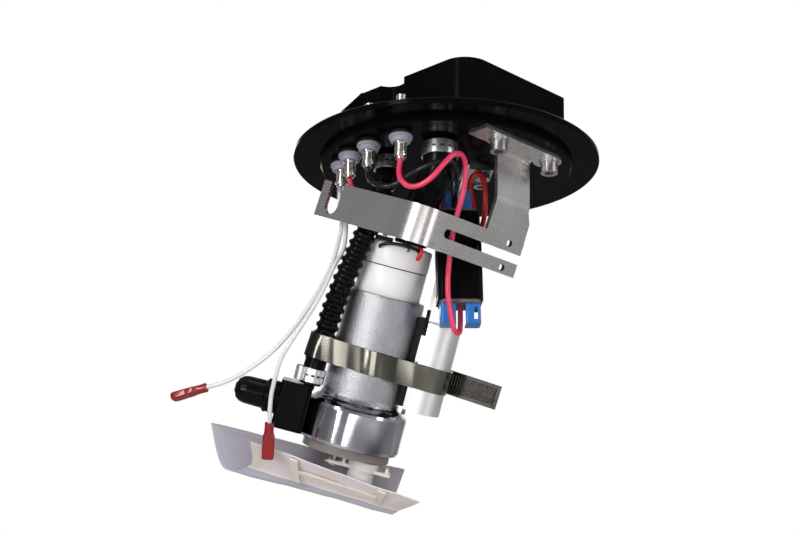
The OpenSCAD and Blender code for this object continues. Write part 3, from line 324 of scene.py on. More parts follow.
def band_metal():
    """Thin spring steel that a hand has bent, a little brown and wavy along its length, with painted
    reflections: its colour goes dark and light along the waves.
    """
    made, p = material("band_steel")
    tone = (0.21, 0.20, 0.17)
    # Painted reflections: a dark and a light tone of the steel, laid along the waves
    dark, painted_reflection_tone = tuple(0.25 * c for c in tone), tuple(1.3 * c for c in tone)
    waves_and_painted_reflections = p.cloud(1, 0.8, p.stretched((68, 40, 8), PUMP_LEAN), 0.4)
    lines = p.cloud(1, 3, p.stretched(SCRATCHES, PUMP_LEAN), 0.6)
    p.surface(
        Base_Color=p.ramp(waves_and_painted_reflections, (0.35, dark), (0.6, painted_reflection_tone)),
        Metallic=1.0,
        Roughness=p.span(lines, 0.3, 0.7, 0.12, 0.2),
        Normal=p.bump(waves_and_painted_reflections + lines * 0.004, 0.8, 0.006),
    )
    return made


def mesh_cloth():
    """Woven filter mesh: threads both ways, in the pump's own directions."""
    made, p = material("mesh_cloth")
    along_pump = p.stretched((1, 1, 1), (math.radians(20), math.radians(13), 0))
    x, y, z = (p.part(along_pump, k) for k in "xyz")
    warp = (x * 12000).sine() * 0.5 + 0.5
    weft = ((y + z) * 9000).sine() * 0.5 + 0.5
    weave = warp * weft
    cloudy = p.cloud(30, 5)
    p.surface(
        Base_Color=p.blend(weave * 0.4 + cloudy * 0.6, (0.72, 0.64, 0.63), (0.90, 0.83, 0.83)),
        Roughness=0.75,
        Subsurface_Weight=0.15,
        Subsurface_Scale=0.003,
        Normal=p.bump(weave, 0.35, 0.0003),
    )
    return made


def spun_cloth():
    """The sock's back leaf: smooth bonded cloth, a little milky."""
    made, p = material("spun_cloth")
    fibres = p.cloud(1600, 4)
    cloudy = p.cloud(26, 5)
    p.surface(
        Base_Color=p.blend(cloudy, (0.34, 0.33, 0.40), (0.48, 0.46, 0.51)),
        Roughness=p.span(fibres, 0.3, 0.7, 0.5, 0.68),
        Subsurface_Weight=0.2,
        Subsurface_Scale=0.004,
        Normal=p.bump(fibres, 0.12, 0.0002),
    )
    return made


MAKERS = {
    "black_anodised": black_anodised,
    "stud_brass": lambda: satin_metal("stud_brass", (0.72, 0.68, 0.60), 0.24),
    "insulator": lambda: plastic("insulator", (0.32, 0.32, 0.39), 0.45, gloss=0.4),
    "zinc": lambda: satin_metal("zinc", (0.55, 0.53, 0.53), 0.34, dark=0.8),
    "sleeve": lambda: satin_metal("sleeve", (0.78, 0.74, 0.70), 0.18, dark=0.8),
    "black_fitting": lambda: black("black_fitting", 0.003, 0.3, gloss=0.05),
    "clamp_steel": lambda: steel("clamp_steel", (0.86, 0.87, 0.89), 0.3, (300, 300, 1500)),
    "hose_rubber": lambda: black("hose_rubber", 0.004, 0.22, bumpy=0.04),
    "corrugated_nylon": lambda: black("corrugated_nylon", 0.004, 0.2, bumpy=0.03),
    "bracket_steel": lambda: steel(
        "bracket_steel", (0.76, 0.735, 0.72), 0.28, (200, 200, 2600), (0.1, 0.1, 0.2)
    ),
    "leg_steel": lambda: steel("leg_steel", (0.60, 0.59, 0.58), 0.28, (1800, 1800, 160)),
    "pad_rubber": lambda: black("pad_rubber", 0.02, 0.6, bumpy=0.3),
    "spacer_aluminium": lambda: steel("spacer_aluminium", (0.95, 0.94, 0.94), 0.42, (2600, 2600, 160)),
    "band_steel": band_metal,
    "shell_aluminium": shell_metal,
    "cap_plastic": lambda: plastic("cap_plastic", (0.88, 0.86, 0.85), 0.32, shade=0.95, glow=0.15),
    "valve_black": lambda: black("valve_black", 0.03, 0.4),
    "spring_steel": lambda: satin_metal("spring_steel", (0.6, 0.6, 0.6), 0.25),
    "valve_brass": lambda: satin_metal("valve_brass", (0.75, 0.60, 0.32), 0.25),
    "magnet": lambda: black("magnet", 0.04, 0.6, bumpy=0.4),
    "winding": lambda: satin_metal("winding", (0.62, 0.32, 0.15), 0.35, 500, 0.4),
    "shaft_steel": lambda: satin_metal("shaft_steel", (0.78, 0.78, 0.80), 0.12),
    "carbon": lambda: black("carbon", 0.03, 0.5),
    "bearing": lambda: satin_metal("bearing", (0.55, 0.45, 0.28), 0.4),
    "impeller_resin": lambda: plastic("impeller_resin", (0.62, 0.54, 0.36), 0.5),
    "plate_aluminium": lambda: satin_metal("plate_aluminium", (0.70, 0.70, 0.71), 0.3),
    "inlet_grey": lambda: satin_metal("inlet_grey", (0.30, 0.29, 0.28), 0.45, 700, 0.4),
    "ring_plastic": lambda: plastic("ring_plastic", (0.22, 0.19, 0.17), 0.45, gloss=0.3),
    "neck_nylon": lambda: plastic("neck_nylon", (0.72, 0.70, 0.66), 0.45, glow=0.1),
    "clip_steel": lambda: satin_metal("clip_steel", (0.25, 0.25, 0.26), 0.3),
    "sock_mesh": mesh_cloth,
    "stiffener": lambda: plastic("stiffener", (0.80, 0.74, 0.66), 0.45, glow=0.2),
    "soft_cap": lambda: black("soft_cap", 0.004, 0.16, bumpy=0.03),
    "connector_black": lambda: black("connector_black", 0.003, 0.33, gloss=0.05),
    "seal_grey": lambda: plastic("seal_grey", (0.16, 0.13, 0.13), 0.5, gloss=0.3),
    "lock_blue": lambda: plastic("lock_blue", (0.02, 0.17, 0.52), 0.25),
    "pink_wire": lambda: plastic("pink_wire", (0.80, 0.045, 0.13), 0.28, bumpy=0.02, shade=0.94),
    "black_wire": lambda: black("black_wire", 0.012, 0.28, bumpy=0.02, gloss=0.3),
    "red_wire": lambda: plastic("red_wire", (0.75, 0.02, 0.012), 0.28, bumpy=0.02, shade=0.94),
    "magenta_wire": lambda: plastic("magenta_wire", (0.70, 0.03, 0.10), 0.28, bumpy=0.02, shade=0.94),
    "white_wire": lambda: plastic("white_wire", (0.72, 0.72, 0.74), 0.3, bumpy=0.02, shade=0.96),
    "terminal_red": lambda: plastic(
        "terminal_red", (0.30, 0.006, 0.008), 0.22, bumpy=0.04, shade=0.8, coat=0.2
    ),
    "plug_black": lambda: black("plug_black", 0.02, 0.3),
}
FINISH = {}


def finish_for(slot):
    if slot not in FINISH:
        FINISH[slot] = MAKERS[slot]()
    return FINISH[slot]


slots = {row["node"]: row["material_slot"] for row in frame["record"]["subparts"]}
for node_name, solid in frame["nodes"].items():
    solid.data.materials.clear()
    solid.data.materials.append(finish_for(slots[node_name]))

# ---- lines ------------------------------------------------------------------------------------------


def through(points, steps):
    """Points on the smooth curve through the given ones, with so many steps a span."""
    p = [np.array(q, float) for q in points]
    line = []
    for i in range(len(p) - 1):
        a, b, c, d = p[max(i - 1, 0)], p[i], p[i + 1], p[min(i + 2, len(p) - 1)]
        for t in np.arange(steps) / steps:
            line.append(0.5 * (
                2 * b + (c - a) * t + (2 * a - 5 * b + 4 * c - d) * t**2 + (3 * b - a - 3 * c + d) * t**3
            ))
    line.append(p[-1])
    return np.array(line)


def evenly(line, count):
    """So many points, evenly spaced along a line."""
    at = np.concatenate([[0], np.cumsum(np.linalg.norm(np.diff(line, axis=0), axis=1))])
    return np.array([np.interp(np.linspace(0, at[-1], count), at, line[:, k]) for k in range(3)]).T


# ---- mesh making: points in millimetres -------------------------------------------------------------


def piece(name, points, faces, slot, replaced=(), place=None, crease=40):
    """A mesh object in the given place, sharp where faces meet at more than the crease's degrees."""
    data = bpy.data.meshes.new(name)
    data.from_pydata([tuple(float(c) * MM for c in q) for q in points], [], [list(map(int, f)) for f in faces])
    if place is not None:
        data.transform(place)
    data.validate()
    data.update()
    made = shown(name, data)
    data.materials.append(finish_for(slot))
    data.shade_smooth()
    data.set_sharp_from_angle(angle=math.radians(crease))
    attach(made, "frame")
    if replaced:
        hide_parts(*replaced)
    return made


def grid_faces(rows, columns, first=0, wrap=True, turned=False):
    """Faces of a grid of points, its columns closed into a ring if wrapped."""
    faces = []
    for i in range(rows - 1):
        for k in range(columns if wrap else columns - 1):
            a, b = first + i * columns + k, first + i * columns + (k + 1) % columns
            face = [a, b, b + columns, a + columns]
            faces.append(face[::-1] if turned else face)
    return faces


def end_faces(rows, sides):
    """The two flat ends of a tube of rings."""
    return [list(range(sides))[::-1], [(rows - 1) * sides + k for k in range(sides)]]


def rings_along(line, radii, sides):
    """Rings of points round a line, without twist."""
    headings = np.gradient(line, axis=0)
    headings /= np.linalg.norm(headings, axis=1)[:, None]
    across = np.array([1.0, 0, 0]) if abs(headings[0][0]) < 0.8 else np.array([0, 1.0, 0])
    angles = np.arange(sides) * 2 * math.pi / sides
    points = []
    for place, heading, radius in zip(line, headings, radii):
        across = across - heading * across.dot(heading)
        across /= np.linalg.norm(across)
        up = np.cross(across, heading)
        for angle in angles:
            points.append(place + radius * (math.cos(angle) * across + math.sin(angle) * up))
    return points


def loft(sections, sides):
    """A closed form through flat sections (height, half x, half y, squareness) along Z."""
    points = []
    for height, wide, deep, square in sections:
        for k in range(sides):
            c, s = math.cos(2 * math.pi * k / sides), math.sin(2 * math.pi * k / sides)
            points.append((
                wide * math.copysign(abs(c) ** (2 / square), c),
                deep * math.copysign(abs(s) ** (2 / square), s),
                height,
            ))
    return points, grid_faces(len(sections), sides) + end_faces(len(sections), sides)


def turned(profile, sides):
    """Points and faces of a closed ring profile of (radius, height) turned about Z."""
    points = [
        (r * math.cos(2 * math.pi * k / sides), r * math.sin(2 * math.pi * k / sides), h)
        for r, h in profile for k in range(sides)
    ]
    faces = grid_faces(len(profile) + 1, sides)
    count = len(points)
    return points, [[i % count for i in face][::-1] for face in faces]


def joined(parts):
    """Several point and face lists as one."""
    points, faces = [], []
    for some_points, some_faces in parts:
        faces += [[i + len(points) for i in face] for face in some_faces]
        points += some_points
    return points, faces


def moved(form, place):
    points, faces = form
    return [tuple(place @ (Vector(q) * MM) / MM) for q in points], faces


# ---- hoses: the routes of the source ----------------------------------------------------------------

FEED = [
    (-4, -37, -4.2), (-4, -37, -9), (-4, -37, -13), (-5.1, -35.3, -18.5), (-7.6, -31.5, -23.5),
    (-10.4, -27, -28.3), (-12.8, -23.3, -33), (-14.1, -21.3, -37), (-15.2, -19.7, -41), (-17.2, -16.7, -49.1),
]
FEED_OUTER, FEED_BORE, FEED_STEPS = 8.0, 4.75, 8
RETURN = [
    (-29.5, -18.5, -4.2), (-29.6, -18.5, -13), (-32, -18.2, -23), (-35.3, -19.3, -33.4), (-38.7, -20.3, -44),
    (-42.6, -18, -53), (-46.8, -14, -61.5), (-50.9, -9.8, -71), (-54.5, -5.4, -80.2), (-57.4, -2, -89.5),
    (-60.5, 1.7, -98.3), (-62.6, 4.6, -105.4), (-64.6, 7.5, -113.2),
]
CUFF_OUTER, RETURN_BORE, RETURN_STEPS = 5.4, 3.25, 9
CUFF_STEPS, RIDGE_START, RIDGE_PITCH = 13.5, 14.5, 4  # in the return hose's steps
RIDGE_MIDDLE, RIDGE_HALF, RIDGE_ROUND = 5.2, 0.6, 0.55
FINE = 6  # rings in each of the return hose's steps
LIP = 0.35


def hose(name, node, line, radii, bore, slot, sides):
    """A hose with its bore: outer skin, narrowed lips at both ends and inner skin."""
    rows = len(line)
    outer = list(radii)
    outer[0] -= LIP
    outer[-1] -= LIP
    points = rings_along(line, outer, sides) + rings_along(line, [bore] * rows, sides)
    count = rows * sides
    last = count - sides
    faces = grid_faces(rows, sides) + grid_faces(rows, sides, first=count, turned=True)
    for k in range(sides):
        n = (k + 1) % sides
        faces.append([n, k, count + k, count + n])
        faces.append([last + k, last + n, count + last + n, count + last + k])
    piece(name, points, faces, slot, [node])


def return_radius(step, steps):
    """The corrugated hose's outer radius: plain cuffs at both ends, square-topped ridges between."""
    if step < CUFF_STEPS or step > steps - CUFF_STEPS:
        return CUFF_OUTER
    wave = math.cos((step - RIDGE_START) / RIDGE_PITCH * 2 * math.pi)
    return RIDGE_MIDDLE + RIDGE_HALF * math.copysign(abs(wave) ** RIDGE_ROUND, wave)


line = through(FEED, FEED_STEPS)
hose("feed_hose_smooth", "feed_hose", line, [FEED_OUTER] * len(line), FEED_BORE, "hose_rubber", 40)

line = through(RETURN, RETURN_STEPS * FINE)
steps = (len(RETURN) - 1) * RETURN_STEPS
radii = [return_radius(i / FINE, steps) for i in range(len(line))]
hose("return_hose_ridged", "return_hose", line, radii, RETURN_BORE, "corrugated_nylon", 36)

# ---- leads and their red push-on terminals: red and magenta bend wider here than in the source ------

PINK = [
    (-22.9, -47.1, -17.2), (-23.4, -48, -23.8), (-22, -50, -28.9), (-18, -52, -32.5), (-12.8, -54.5, -32.4),
    (-7.6, -56.5, -29), (-2.4, -57, -22.7), (1.8, -56, -17.8), (5.4, -52.5, -15.8), (7.8, -47, -17.5),
    (8.2, -43.5, -24), (7, -41, -32), (5, -37, -39), (2.5, -33, -51), (1.5, -28.5, -61), (1, -25, -68),
    (1.2, -22.5, -76), (2.4, -19.5, -83), (3.6, -17.5, -88.5), (5.2, -14.5, -92), (7, -11.5, -91.5),
    (7.6, -10, -87), (7.5, -10, -78),
]
BLACK = [
    (-38.3, -35.7, -17.2), (-38.3, -35.9, -21), (-35.5, -39.5, -26), (-30.1, -43, -29.2),
    (-24.6, -44.6, -28.4), (-18.7, -48, -25.2), (-12.5, -51.5, -22.9), (-6.3, -52.5, -20.2),
    (-0.5, -51.3, -18.9), (2.8, -48, -19.2), (4, -43, -21.3), (4.2, -36, -22.6), (4.2, -28, -22.4),
    (4.2, -19, -21.8), (4.4, -12.5, -23.5), (4.4, -10.5, -28.6),
]
RED = [
    (13.9, -9, -28.8), (13.3, -9.2, -23.2), (12.1, -10, -18), (11.8, -11.1, -13.6), (13.2, -12.1, -10.6),
    (15.6, -12.7, -9.8), (17.8, -12.8, -11.6), (18.9, -12, -16.4), (19.3, -9, -24.5), (18.6, -3.5, -32),
    (15.5, 0.4, -37.5), (8, 1.2, -41.5), (-2, 1, -43.3), (-12, -1.2, -42.3), (-19.5, -6, -38.8),
    (-24.6, -10.6, -36.4), (-28, -12.6, -37.8), (-29.6, -11.9, -42.7),
]
MAGENTA = [
    (-47.5, -22.1, -17.5), (-47.1, -21.4, -19.4), (-45.9, -20, -21.6), (-44.3, -17.8, -24.9),
    (-42, -13.5, -30.5), (-37, -7.5, -35), (-28, -3, -38), (-18.5, -1.2, -38), (-12.4, -2.4, -34.4),
    (-9.2, -4.4, -29), (-8.4, -5.3, -24.2), (-7.1, -6.2, -21), (-5.1, -7.7, -20), (-3.2, -9, -21.2),
    (-2.5, -9.5, -24.6), (-2.5, -9.5, -28.6),
]
LONG_WHITE = [
    (-52.8, -9.1, -17.2), (-52.2, -9.6, -27), (-51, -10.6, -37.8), (-51.7, -10.7, -43.2),
    (-54.5, -12.1, -56.7), (-58.9, -15.9, -69.3), (-64.8, -17.9, -81.2), (-72.7, -17.5, -93.7),
    (-82.2, -15.6, -104.3), (-93.2, -12.6, -112.4), (-103.7, -8.6, -117.3), (-113, -5.6, -119.5),
]
SHORT_WHITE = [
    (-50.4, -9.1, -17.2), (-49.6, -9.4, -26), (-48.8, -11, -38), (-49.6, -13, -50.5), (-53.6, -16, -60),
    (-58, -19.8, -72.6), (-62.6, -21.4, -82.8), (-68.5, -20.6, -93), (-73.8, -18.6, -101.2),
    (-77.8, -15.6, -108.3), (-80.5, -11.6, -117.2), (-82.2, -7.2, -125.1), (-82.7, -1.7, -135.2),
]
LEAD_D, SENDER_LEAD_D = 2.6, 2.1
LEAD_STEPS, LEAD_POINTS = 12, 36
# Wire end, crimp, waist, square housing with its groove, and the open mouth turned in
TERMINAL = [
    (0.0, 1.5, 1.5, 2), (0.0, 2.0, 2.0, 2), (0.25, 2.3, 2.3, 2), (1.2, 2.3, 2.3, 2), (2.2, 2.2, 2.25, 2),
    (4.6, 2.2, 2.35, 2), (5.6, 2.1, 2.6, 2.3), (6.6, 1.95, 2.95, 3.2), (8.0, 1.95, 3.0, 4),
    (9.8, 1.95, 3.0, 4.5), (10.3, 1.86, 2.92, 4.5), (10.8, 1.86, 2.92, 4.5), (11.3, 1.95, 3.0, 4.5),
    (15.6, 2.0, 3.0, 4.5), (17.3, 1.96, 2.96, 4.2), (17.8, 1.8, 2.8, 4), (18.0, 1.6, 2.6, 4),
    (17.9, 1.2, 2.2, 4), (15.0, 1.1, 2.1, 4), (14.8, 0.6, 1.8, 4),
]


def terminal(name, node, route):
    """A terminal's sleeve that goes on straight from the end of its lead."""
    last, before = np.array(route[-1]), np.array(route[-2])
    heading = (last - before) / np.linalg.norm(last - before)
    tilt, swing = math.degrees(math.acos(heading[2])), math.degrees(math.atan2(heading[1], heading[0]))
    place = shift(*last) @ turn("Z", swing) @ turn("Y", tilt)
    return piece(name, *loft(TERMINAL, 48), "terminal_red", [node], place)


def lead(name, node, route, diameter, slot):
    curve = through(route, LEAD_STEPS)
    line = evenly(curve, LEAD_POINTS) * MM
    data = bpy.data.curves.new(name, "CURVE")
    data.dimensions = "3D"
    data.resolution_u = 5
    data.bevel_depth = diameter / 2 * MM
    data.bevel_resolution = 4
    data.use_fill_caps = True
    spline = data.splines.new("BEZIER")
    spline.bezier_points.add(len(line) - 1)
    for point, place in zip(spline.bezier_points, line):
        point.co = place
        point.handle_left_type = point.handle_right_type = "AUTO"
    made = shown(name, data)
    data.materials.append(finish_for(slot))
    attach(made, "frame")
    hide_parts(node)


long_terminal = terminal("terminal_long_sleeve", "terminal_long", LONG_WHITE)
short_terminal = terminal("terminal_short_sleeve", "terminal_short", SHORT_WHITE)
for name, node, route in (
    ("pink_wire", "pink_lead", PINK), ("black_wire", "black_lead", BLACK),
    ("red_wire", "red_lead", RED), ("magenta_wire", "magenta_lead", MAGENTA),
):
    lead(name, node, route, LEAD_D, name)
for name, node, route, end in (
    ("white_wire_long", "white_lead_long", LONG_WHITE, long_terminal),
    ("white_wire_short", "white_lead_short", SHORT_WHITE, short_terminal),
):
    lead(name, node, route, SENDER_LEAD_D, "white_wire")

# ---- what sits on the studs: heights down from the cover's seat -------------------------------------

STUD_ARC, STUD_ANGLES = 52.4, (-116, -137, -155, -170)
stud_places = [shift(*polar(STUD_ARC, angle), 0) for angle in STUD_ANGLES]
STUD_BORE = 2.3
SLEEVE_TOP, SLEEVE_FOOT = -8.5, -14.2
RIBS_TOP, RIB_PITCH, RIB_COUNT, RIB_OUTER, RIB_INNER = -9.5, 0.62, 7, 2.82, 2.62
RIM_OUTER, RIM_LOW, RIM_HIGH, RIM_ROUND = 5.75, -6.55, -4.8, 0.25
KNURLS, KNURL_DEEP = 36, 0.12
GASKET_INNER, GASKET_TOP, GASKET_FOOT = 3.95, -3.0, -4.78
STUD_SIDES = 48


def on_studs(forms):
    return joined([moved(form, place) for place in stud_places for form in forms])


def insulator_rim():
    """The insulator's rim: a ring with two of every four points round its edge drawn in."""
    points, faces = turned([
        (STUD_BORE, RIM_HIGH), (RIM_OUTER - RIM_ROUND, RIM_HIGH), (RIM_OUTER, RIM_HIGH - RIM_ROUND),
        (RIM_OUTER, RIM_LOW + RIM_ROUND), (RIM_OUTER - 0.3, RIM_LOW), (STUD_BORE, RIM_LOW),
    ], KNURLS * 4)
    knurled = []
    for index, (x, y, z) in enumerate(points):
        r = math.hypot(x, y)
        if r > RIM_OUTER - 0.1 and index % 4 in (1, 2):
            x, y = x * (1 - KNURL_DEEP / r), y * (1 - KNURL_DEEP / r)
        knurled.append((x, y, z))
    return knurled, faces


sleeve = [
    (STUD_BORE, SLEEVE_TOP), (3.5, SLEEVE_TOP), (3.6, SLEEVE_TOP - 0.25), (3.5, SLEEVE_TOP - 0.7), (2.8, -9.3),
]
for k in range(RIB_COUNT):
    top = RIBS_TOP - RIB_PITCH * k
    sleeve += [(RIB_OUTER, top), (RIB_INNER, top - 0.16), (RIB_INNER, top - 0.32), (RIB_OUTER, top - 0.48)]
sleeve += [
    (2.7, SLEEVE_FOOT), (3.15, SLEEVE_FOOT - 0.15), (3.2, -15.2), (3.0, -15.75), (2.6, -15.9),
    (STUD_BORE, -15.9),
]
bush = [
    (STUD_BORE, -6.5), (4.95, -6.5), (4.9, -7.9), (4.6, -8.4), (4.4, SLEEVE_TOP), (STUD_BORE, SLEEVE_TOP),
]
spigot = [(STUD_BORE, 0), (3.9, 0), (3.9, -4.85), (STUD_BORE, -4.85)]
gasket = [
    (GASKET_INNER, GASKET_TOP), (5.0, GASKET_TOP), (5.25, GASKET_TOP - 0.3), (5.25, -4.5),
    (5.0, GASKET_FOOT), (GASKET_INNER, GASKET_FOOT),
]
piece("stud_sleeves_ribbed", *on_studs([turned(sleeve, 40)]), "sleeve", ["stud_sleeves"])
piece(
    "stud_insulators_knurled",
    *on_studs([insulator_rim(), turned(bush, STUD_SIDES), turned(spigot, STUD_SIDES)]),
    "insulator", ["stud_insulators_lower"],
)
piece("stud_gaskets", *on_studs([turned(gasket, STUD_SIDES)]), "pad_rubber")

# ---- pump cap and lid: skins over the moulded bodies, with a black ring in the seam as painted shade ---

SKIN_INNER, CAP_OUTER, LID_OUTER, SEAM_OUTER = 15.5, 16.7, 16.9, 16.58
SEAM, SEAM_GAP, LID_EDGE = 14.2, 0.45, 25.6
cap_skin = [
    (SKIN_INNER, 0.1), (CAP_OUTER - 0.15, 0.1), (CAP_OUTER, 0.3), (CAP_OUTER, SEAM - 0.25),
    (CAP_OUTER - 0.2, SEAM), (SKIN_INNER, SEAM),
]
lid_skin = [
    (SKIN_INNER, SEAM + SEAM_GAP), (LID_OUTER - 0.15, SEAM + SEAM_GAP), (LID_OUTER, SEAM + 0.7),
    (LID_OUTER, LID_EDGE - 1.2), (LID_OUTER - 0.3, LID_EDGE - 0.4), (LID_OUTER - 1, LID_EDGE),
    (SKIN_INNER, LID_EDGE),
]
# Painted shade: a black ring set back in the gap between cap and lid darkens the seam
seam_shade_ring = [
    (SKIN_INNER + 0.1, SEAM - 0.05), (SEAM_OUTER, SEAM - 0.05), (SEAM_OUTER, SEAM + 0.5),
    (SKIN_INNER + 0.1, SEAM + 0.5),
]
for name, profile, slot in (
    ("cap_skin", cap_skin, "cap_plastic"), ("lid_skin", lid_skin, "cap_plastic"),
    ("cap_seam_painted_shade", seam_shade_ring, "plug_black"),
):
    piece(name, *turned(profile, 96), slot, (), pump_place)

# Short leads over the lid's edge: angle, radius and height round the pump's axis
BRUSH_BLACK = [
    (238, 16.6, 22.6), (241, 18.1, 23.3), (248, 18.4, 24.6), (258, 18.4, 25.6), (270, 18.4, 26.1),
    (283, 18.4, 26.1), (295, 18.2, 25.7), (304, 17.6, 25.0), (309, 16.6, 24.2),
]
BRUSH_RED = [
    (307, 15.2, 25.4), (307, 16.4, 26.7), (307, 17.9, 26.4), (307, 18.4, 24.6), (307, 18.1, 22.6),
    (307, 16.6, 21.2),
]
BRUSH_BLUE = [
    (285, 15.4, 25.4), (285, 16.4, 26.3), (285.5, 17.5, 26.0), (286, 17.7, 24.7), (286.5, 16.6, 23.8),
]
BRUSH_STEPS, BRUSH_RINGS, BRUSH_SIDES = 8, 40, 16
for name, stations, diameter, slot in (
    ("brush_lead_black", BRUSH_BLACK, 1.7, "black_wire"),
    ("brush_lead_red", BRUSH_RED, 2.0, "red_wire"),
    ("brush_lead_blue", BRUSH_BLUE, 1.2, "lock_blue"),
):
    route, _ = moved(([(*polar(radius, angle), height) for angle, radius, height in stations], []), pump_place)
    line = evenly(through(route, BRUSH_STEPS), BRUSH_RINGS)
    faces = grid_faces(BRUSH_RINGS, BRUSH_SIDES) + end_faces(BRUSH_RINGS, BRUSH_SIDES)
    piece(name, rings_along(line, [diameter / 2] * BRUSH_RINGS, BRUSH_SIDES), faces, slot)

# ---- clamps: ribbons of sheet -----------------------------------------------------------------------

EDGE_IN, EDGE_DOWN = 0.22, 0.2  # how far a ribbon's edges are rounded
GROOVE_EDGE, GROOVE_FLOOR, GROOVE_DEEP = 1.7, 2.0, 0.28


def ribbon(path, closed, thick, wide, grooves=()):
    """A strip that follows a flat path, its width along Z, with rounded edges and grooves across."""
    path = np.array(path, float)
    ahead_of = np.roll(path, -1, 0) - np.roll(path, 1, 0) if closed else np.gradient(path, axis=0)
    out = np.stack([ahead_of[:, 1], -ahead_of[:, 0]], 1)
    out /= np.linalg.norm(out, axis=1)[:, None]
    half, face, rows, points = wide / 2, thick / 2, len(path), []
    across = (
        EDGE_IN - half, GROOVE_EDGE - half, GROOVE_FLOOR - half,
        half - GROOVE_FLOOR, half - GROOVE_EDGE, half - EDGE_IN,
    )
    for i, (place, normal) in enumerate(zip(path, out)):
        low = GROOVE_DEEP if i in grooves else 0.0
        section = [(face - (low if 1 < k < 4 else 0), z) for k, z in enumerate(across)]
        section += [(face - EDGE_DOWN, half), (EDGE_DOWN - face, half), (-face, half - EDGE_IN)]
        section += [(-face, EDGE_IN - half), (EDGE_DOWN - face, -half), (face - EDGE_DOWN, -half)]
        points += [(*(place + normal * offset), z) for offset, z in section]
    columns = len(points) // rows
    faces = grid_faces(rows, columns, turned=True)
    if closed:
        last = (rows - 1) * columns
        faces += [[k, last + k, last + (k + 1) % columns, (k + 1) % columns] for k in range(columns)]
    else:
        faces += [end[::-1] for end in end_faces(rows, columns)]
    return points, faces


def round_path(radius, start, end, count, at=(0, 0)):
    angles = np.radians(np.linspace(start, end, count))
    return [(at[0] + radius * math.cos(t), at[1] + radius * math.sin(t)) for t in angles]


CLAMP_WIDE, CLAMP_THICK, EAR_ROOT, EAR_HIGH = 7.0, 0.7, 2.9, 2.75
# Half of the pinched ear, from its foot to its dimple: depth below the ear's top, distance to the side
EAR = [(0.7, 2.75), (0.15, 2.2), (0.05, 1.1)]
WINDOWS, WINDOW_APART, WINDOW_LONG, WINDOW_WIDE, WINDOW_SIDES = 5, 26, 0.95, 0.55, 20


def ear_clamp(name, node, inner, place, ear_turn, facing):
    """A single-ear clamp: round band, pinched ear and a row of dark windows on the side in view."""
    radius, top = inner / 2 + 0.4, inner / 2 + EAR_HIGH
    root = math.degrees(math.asin(EAR_ROOT / radius))
    path = round_path(radius, root, 360 - root, 56)
    path += [(radius + 0.9, -2.95)] + [(top - deep, -out) for deep, out in EAR] + [(top - 0.3, 0)]
    path += [(top - deep, out) for deep, out in EAR[::-1]] + [(radius + 0.9, 2.95)]
    form = ribbon(path, True, CLAMP_THICK, CLAMP_WIDE)
    piece(name, *form, "clamp_steel", [node], place @ turn("Z", ear_turn))
    n = WINDOW_SIDES
    oval = [
        (WINDOW_LONG * math.cos(2 * math.pi * j / n), WINDOW_WIDE * math.sin(2 * math.pi * j / n))
        for j in range(n)
    ]
    faces = [[j, (j + 1) % n, n + (j + 1) % n, n + j] for j in range(n)] + [list(range(n, 2 * n))]
    windows = []
    for k in range(WINDOWS):
        middle = math.radians(facing + (k - WINDOWS // 2) * WINDOW_APART)
        points = []
        for scale, out_by in ((1.0, 0.37), (0.8, 0.4)):
            for u, v in oval:
                bend, reach = middle + u * scale / radius, radius + out_by
                points.append((reach * math.cos(bend), reach * math.sin(bend), v * scale))
        windows.append((points, faces))
    piece(name + "_windows", *joined(windows), "plug_black", (), place)


ear_clamp("feed_clamp_band", "feed_clamp", 16.2, shift(-4, -37, -8.2), 60, -84)
ear_clamp("return_clamp_band", "return_clamp", 11.0, shift(-29.5, -18.5, -8), 100, -88)
ear_clamp("fitting_clamp_band", "fitting_clamp", 11.0, pump_place @ shift(-25, -11.4, -46), 200, -84)

# ---- worm band round hose, pump and spacer, with its ribbed free end --------------------------------

HOSE_AT, HOSE_R = (-24.5, -12.0), 5.7
PUMP_AT, PUMP_R = (0.0, 0.0), 19.5
SPACER_AT, SPACER_R = (27.5, 0.0), 12.6
BAND_OUT, BAND_THICK, BAND_WIDE = 0.75, 0.66, 12
TAIL_PLAIN, TAIL_STEP, TAIL_SIDE = 25, 1.5, 0.35
TAIL_RIB_STEP, TAIL_RIB_STEPS = 0.35, 68


def touch_angle(first, second):
    """Where the straight run from one round to the next leaves it, in degrees."""
    (a, ra), (b, rb) = first, second
    gap = math.hypot(b[0] - a[0], b[1] - a[1])
    return math.degrees(math.atan2(b[1] - a[1], b[0] - a[0]) - math.acos((ra - rb) / gap))


hose_ring, pump_ring, spacer_ring = (HOSE_AT, HOSE_R), (PUMP_AT, PUMP_R), (SPACER_AT, SPACER_R)
front_a, front_b = touch_angle(hose_ring, pump_ring), touch_angle(pump_ring, spacer_ring)
back_a, back_b = touch_angle(spacer_ring, pump_ring), touch_angle(pump_ring, hose_ring) + 360
loop = round_path(PUMP_R + BAND_OUT, front_a, front_b, 14)
loop += round_path(SPACER_R + BAND_OUT, front_b, back_a, 36, SPACER_AT)
loop += round_path(PUMP_R + BAND_OUT, back_a, back_b, 30)
loop += round_path(HOSE_R + BAND_OUT, back_b, front_a + 360, 24, HOSE_AT)
tail = [(x, TAIL_SIDE) for x in np.arange(0, TAIL_PLAIN, TAIL_STEP)]
first_rib = len(tail)
tail += [(TAIL_PLAIN + TAIL_RIB_STEP * k, TAIL_SIDE) for k in range(TAIL_RIB_STEPS)]
tail += [(49.2, TAIL_SIDE), (50, TAIL_SIDE)]
ribs = {first_rib + k for k in range(TAIL_RIB_STEPS - 2) if k % 4 in (1, 2)}
band_place = pump_place @ shift(0, 0, -32.5) @ turn("Y", 2.4)
tail_place = shift(18, 16.57, 0) @ turn("Z", -14.5)
band_loop = ribbon(loop, True, BAND_THICK, BAND_WIDE)
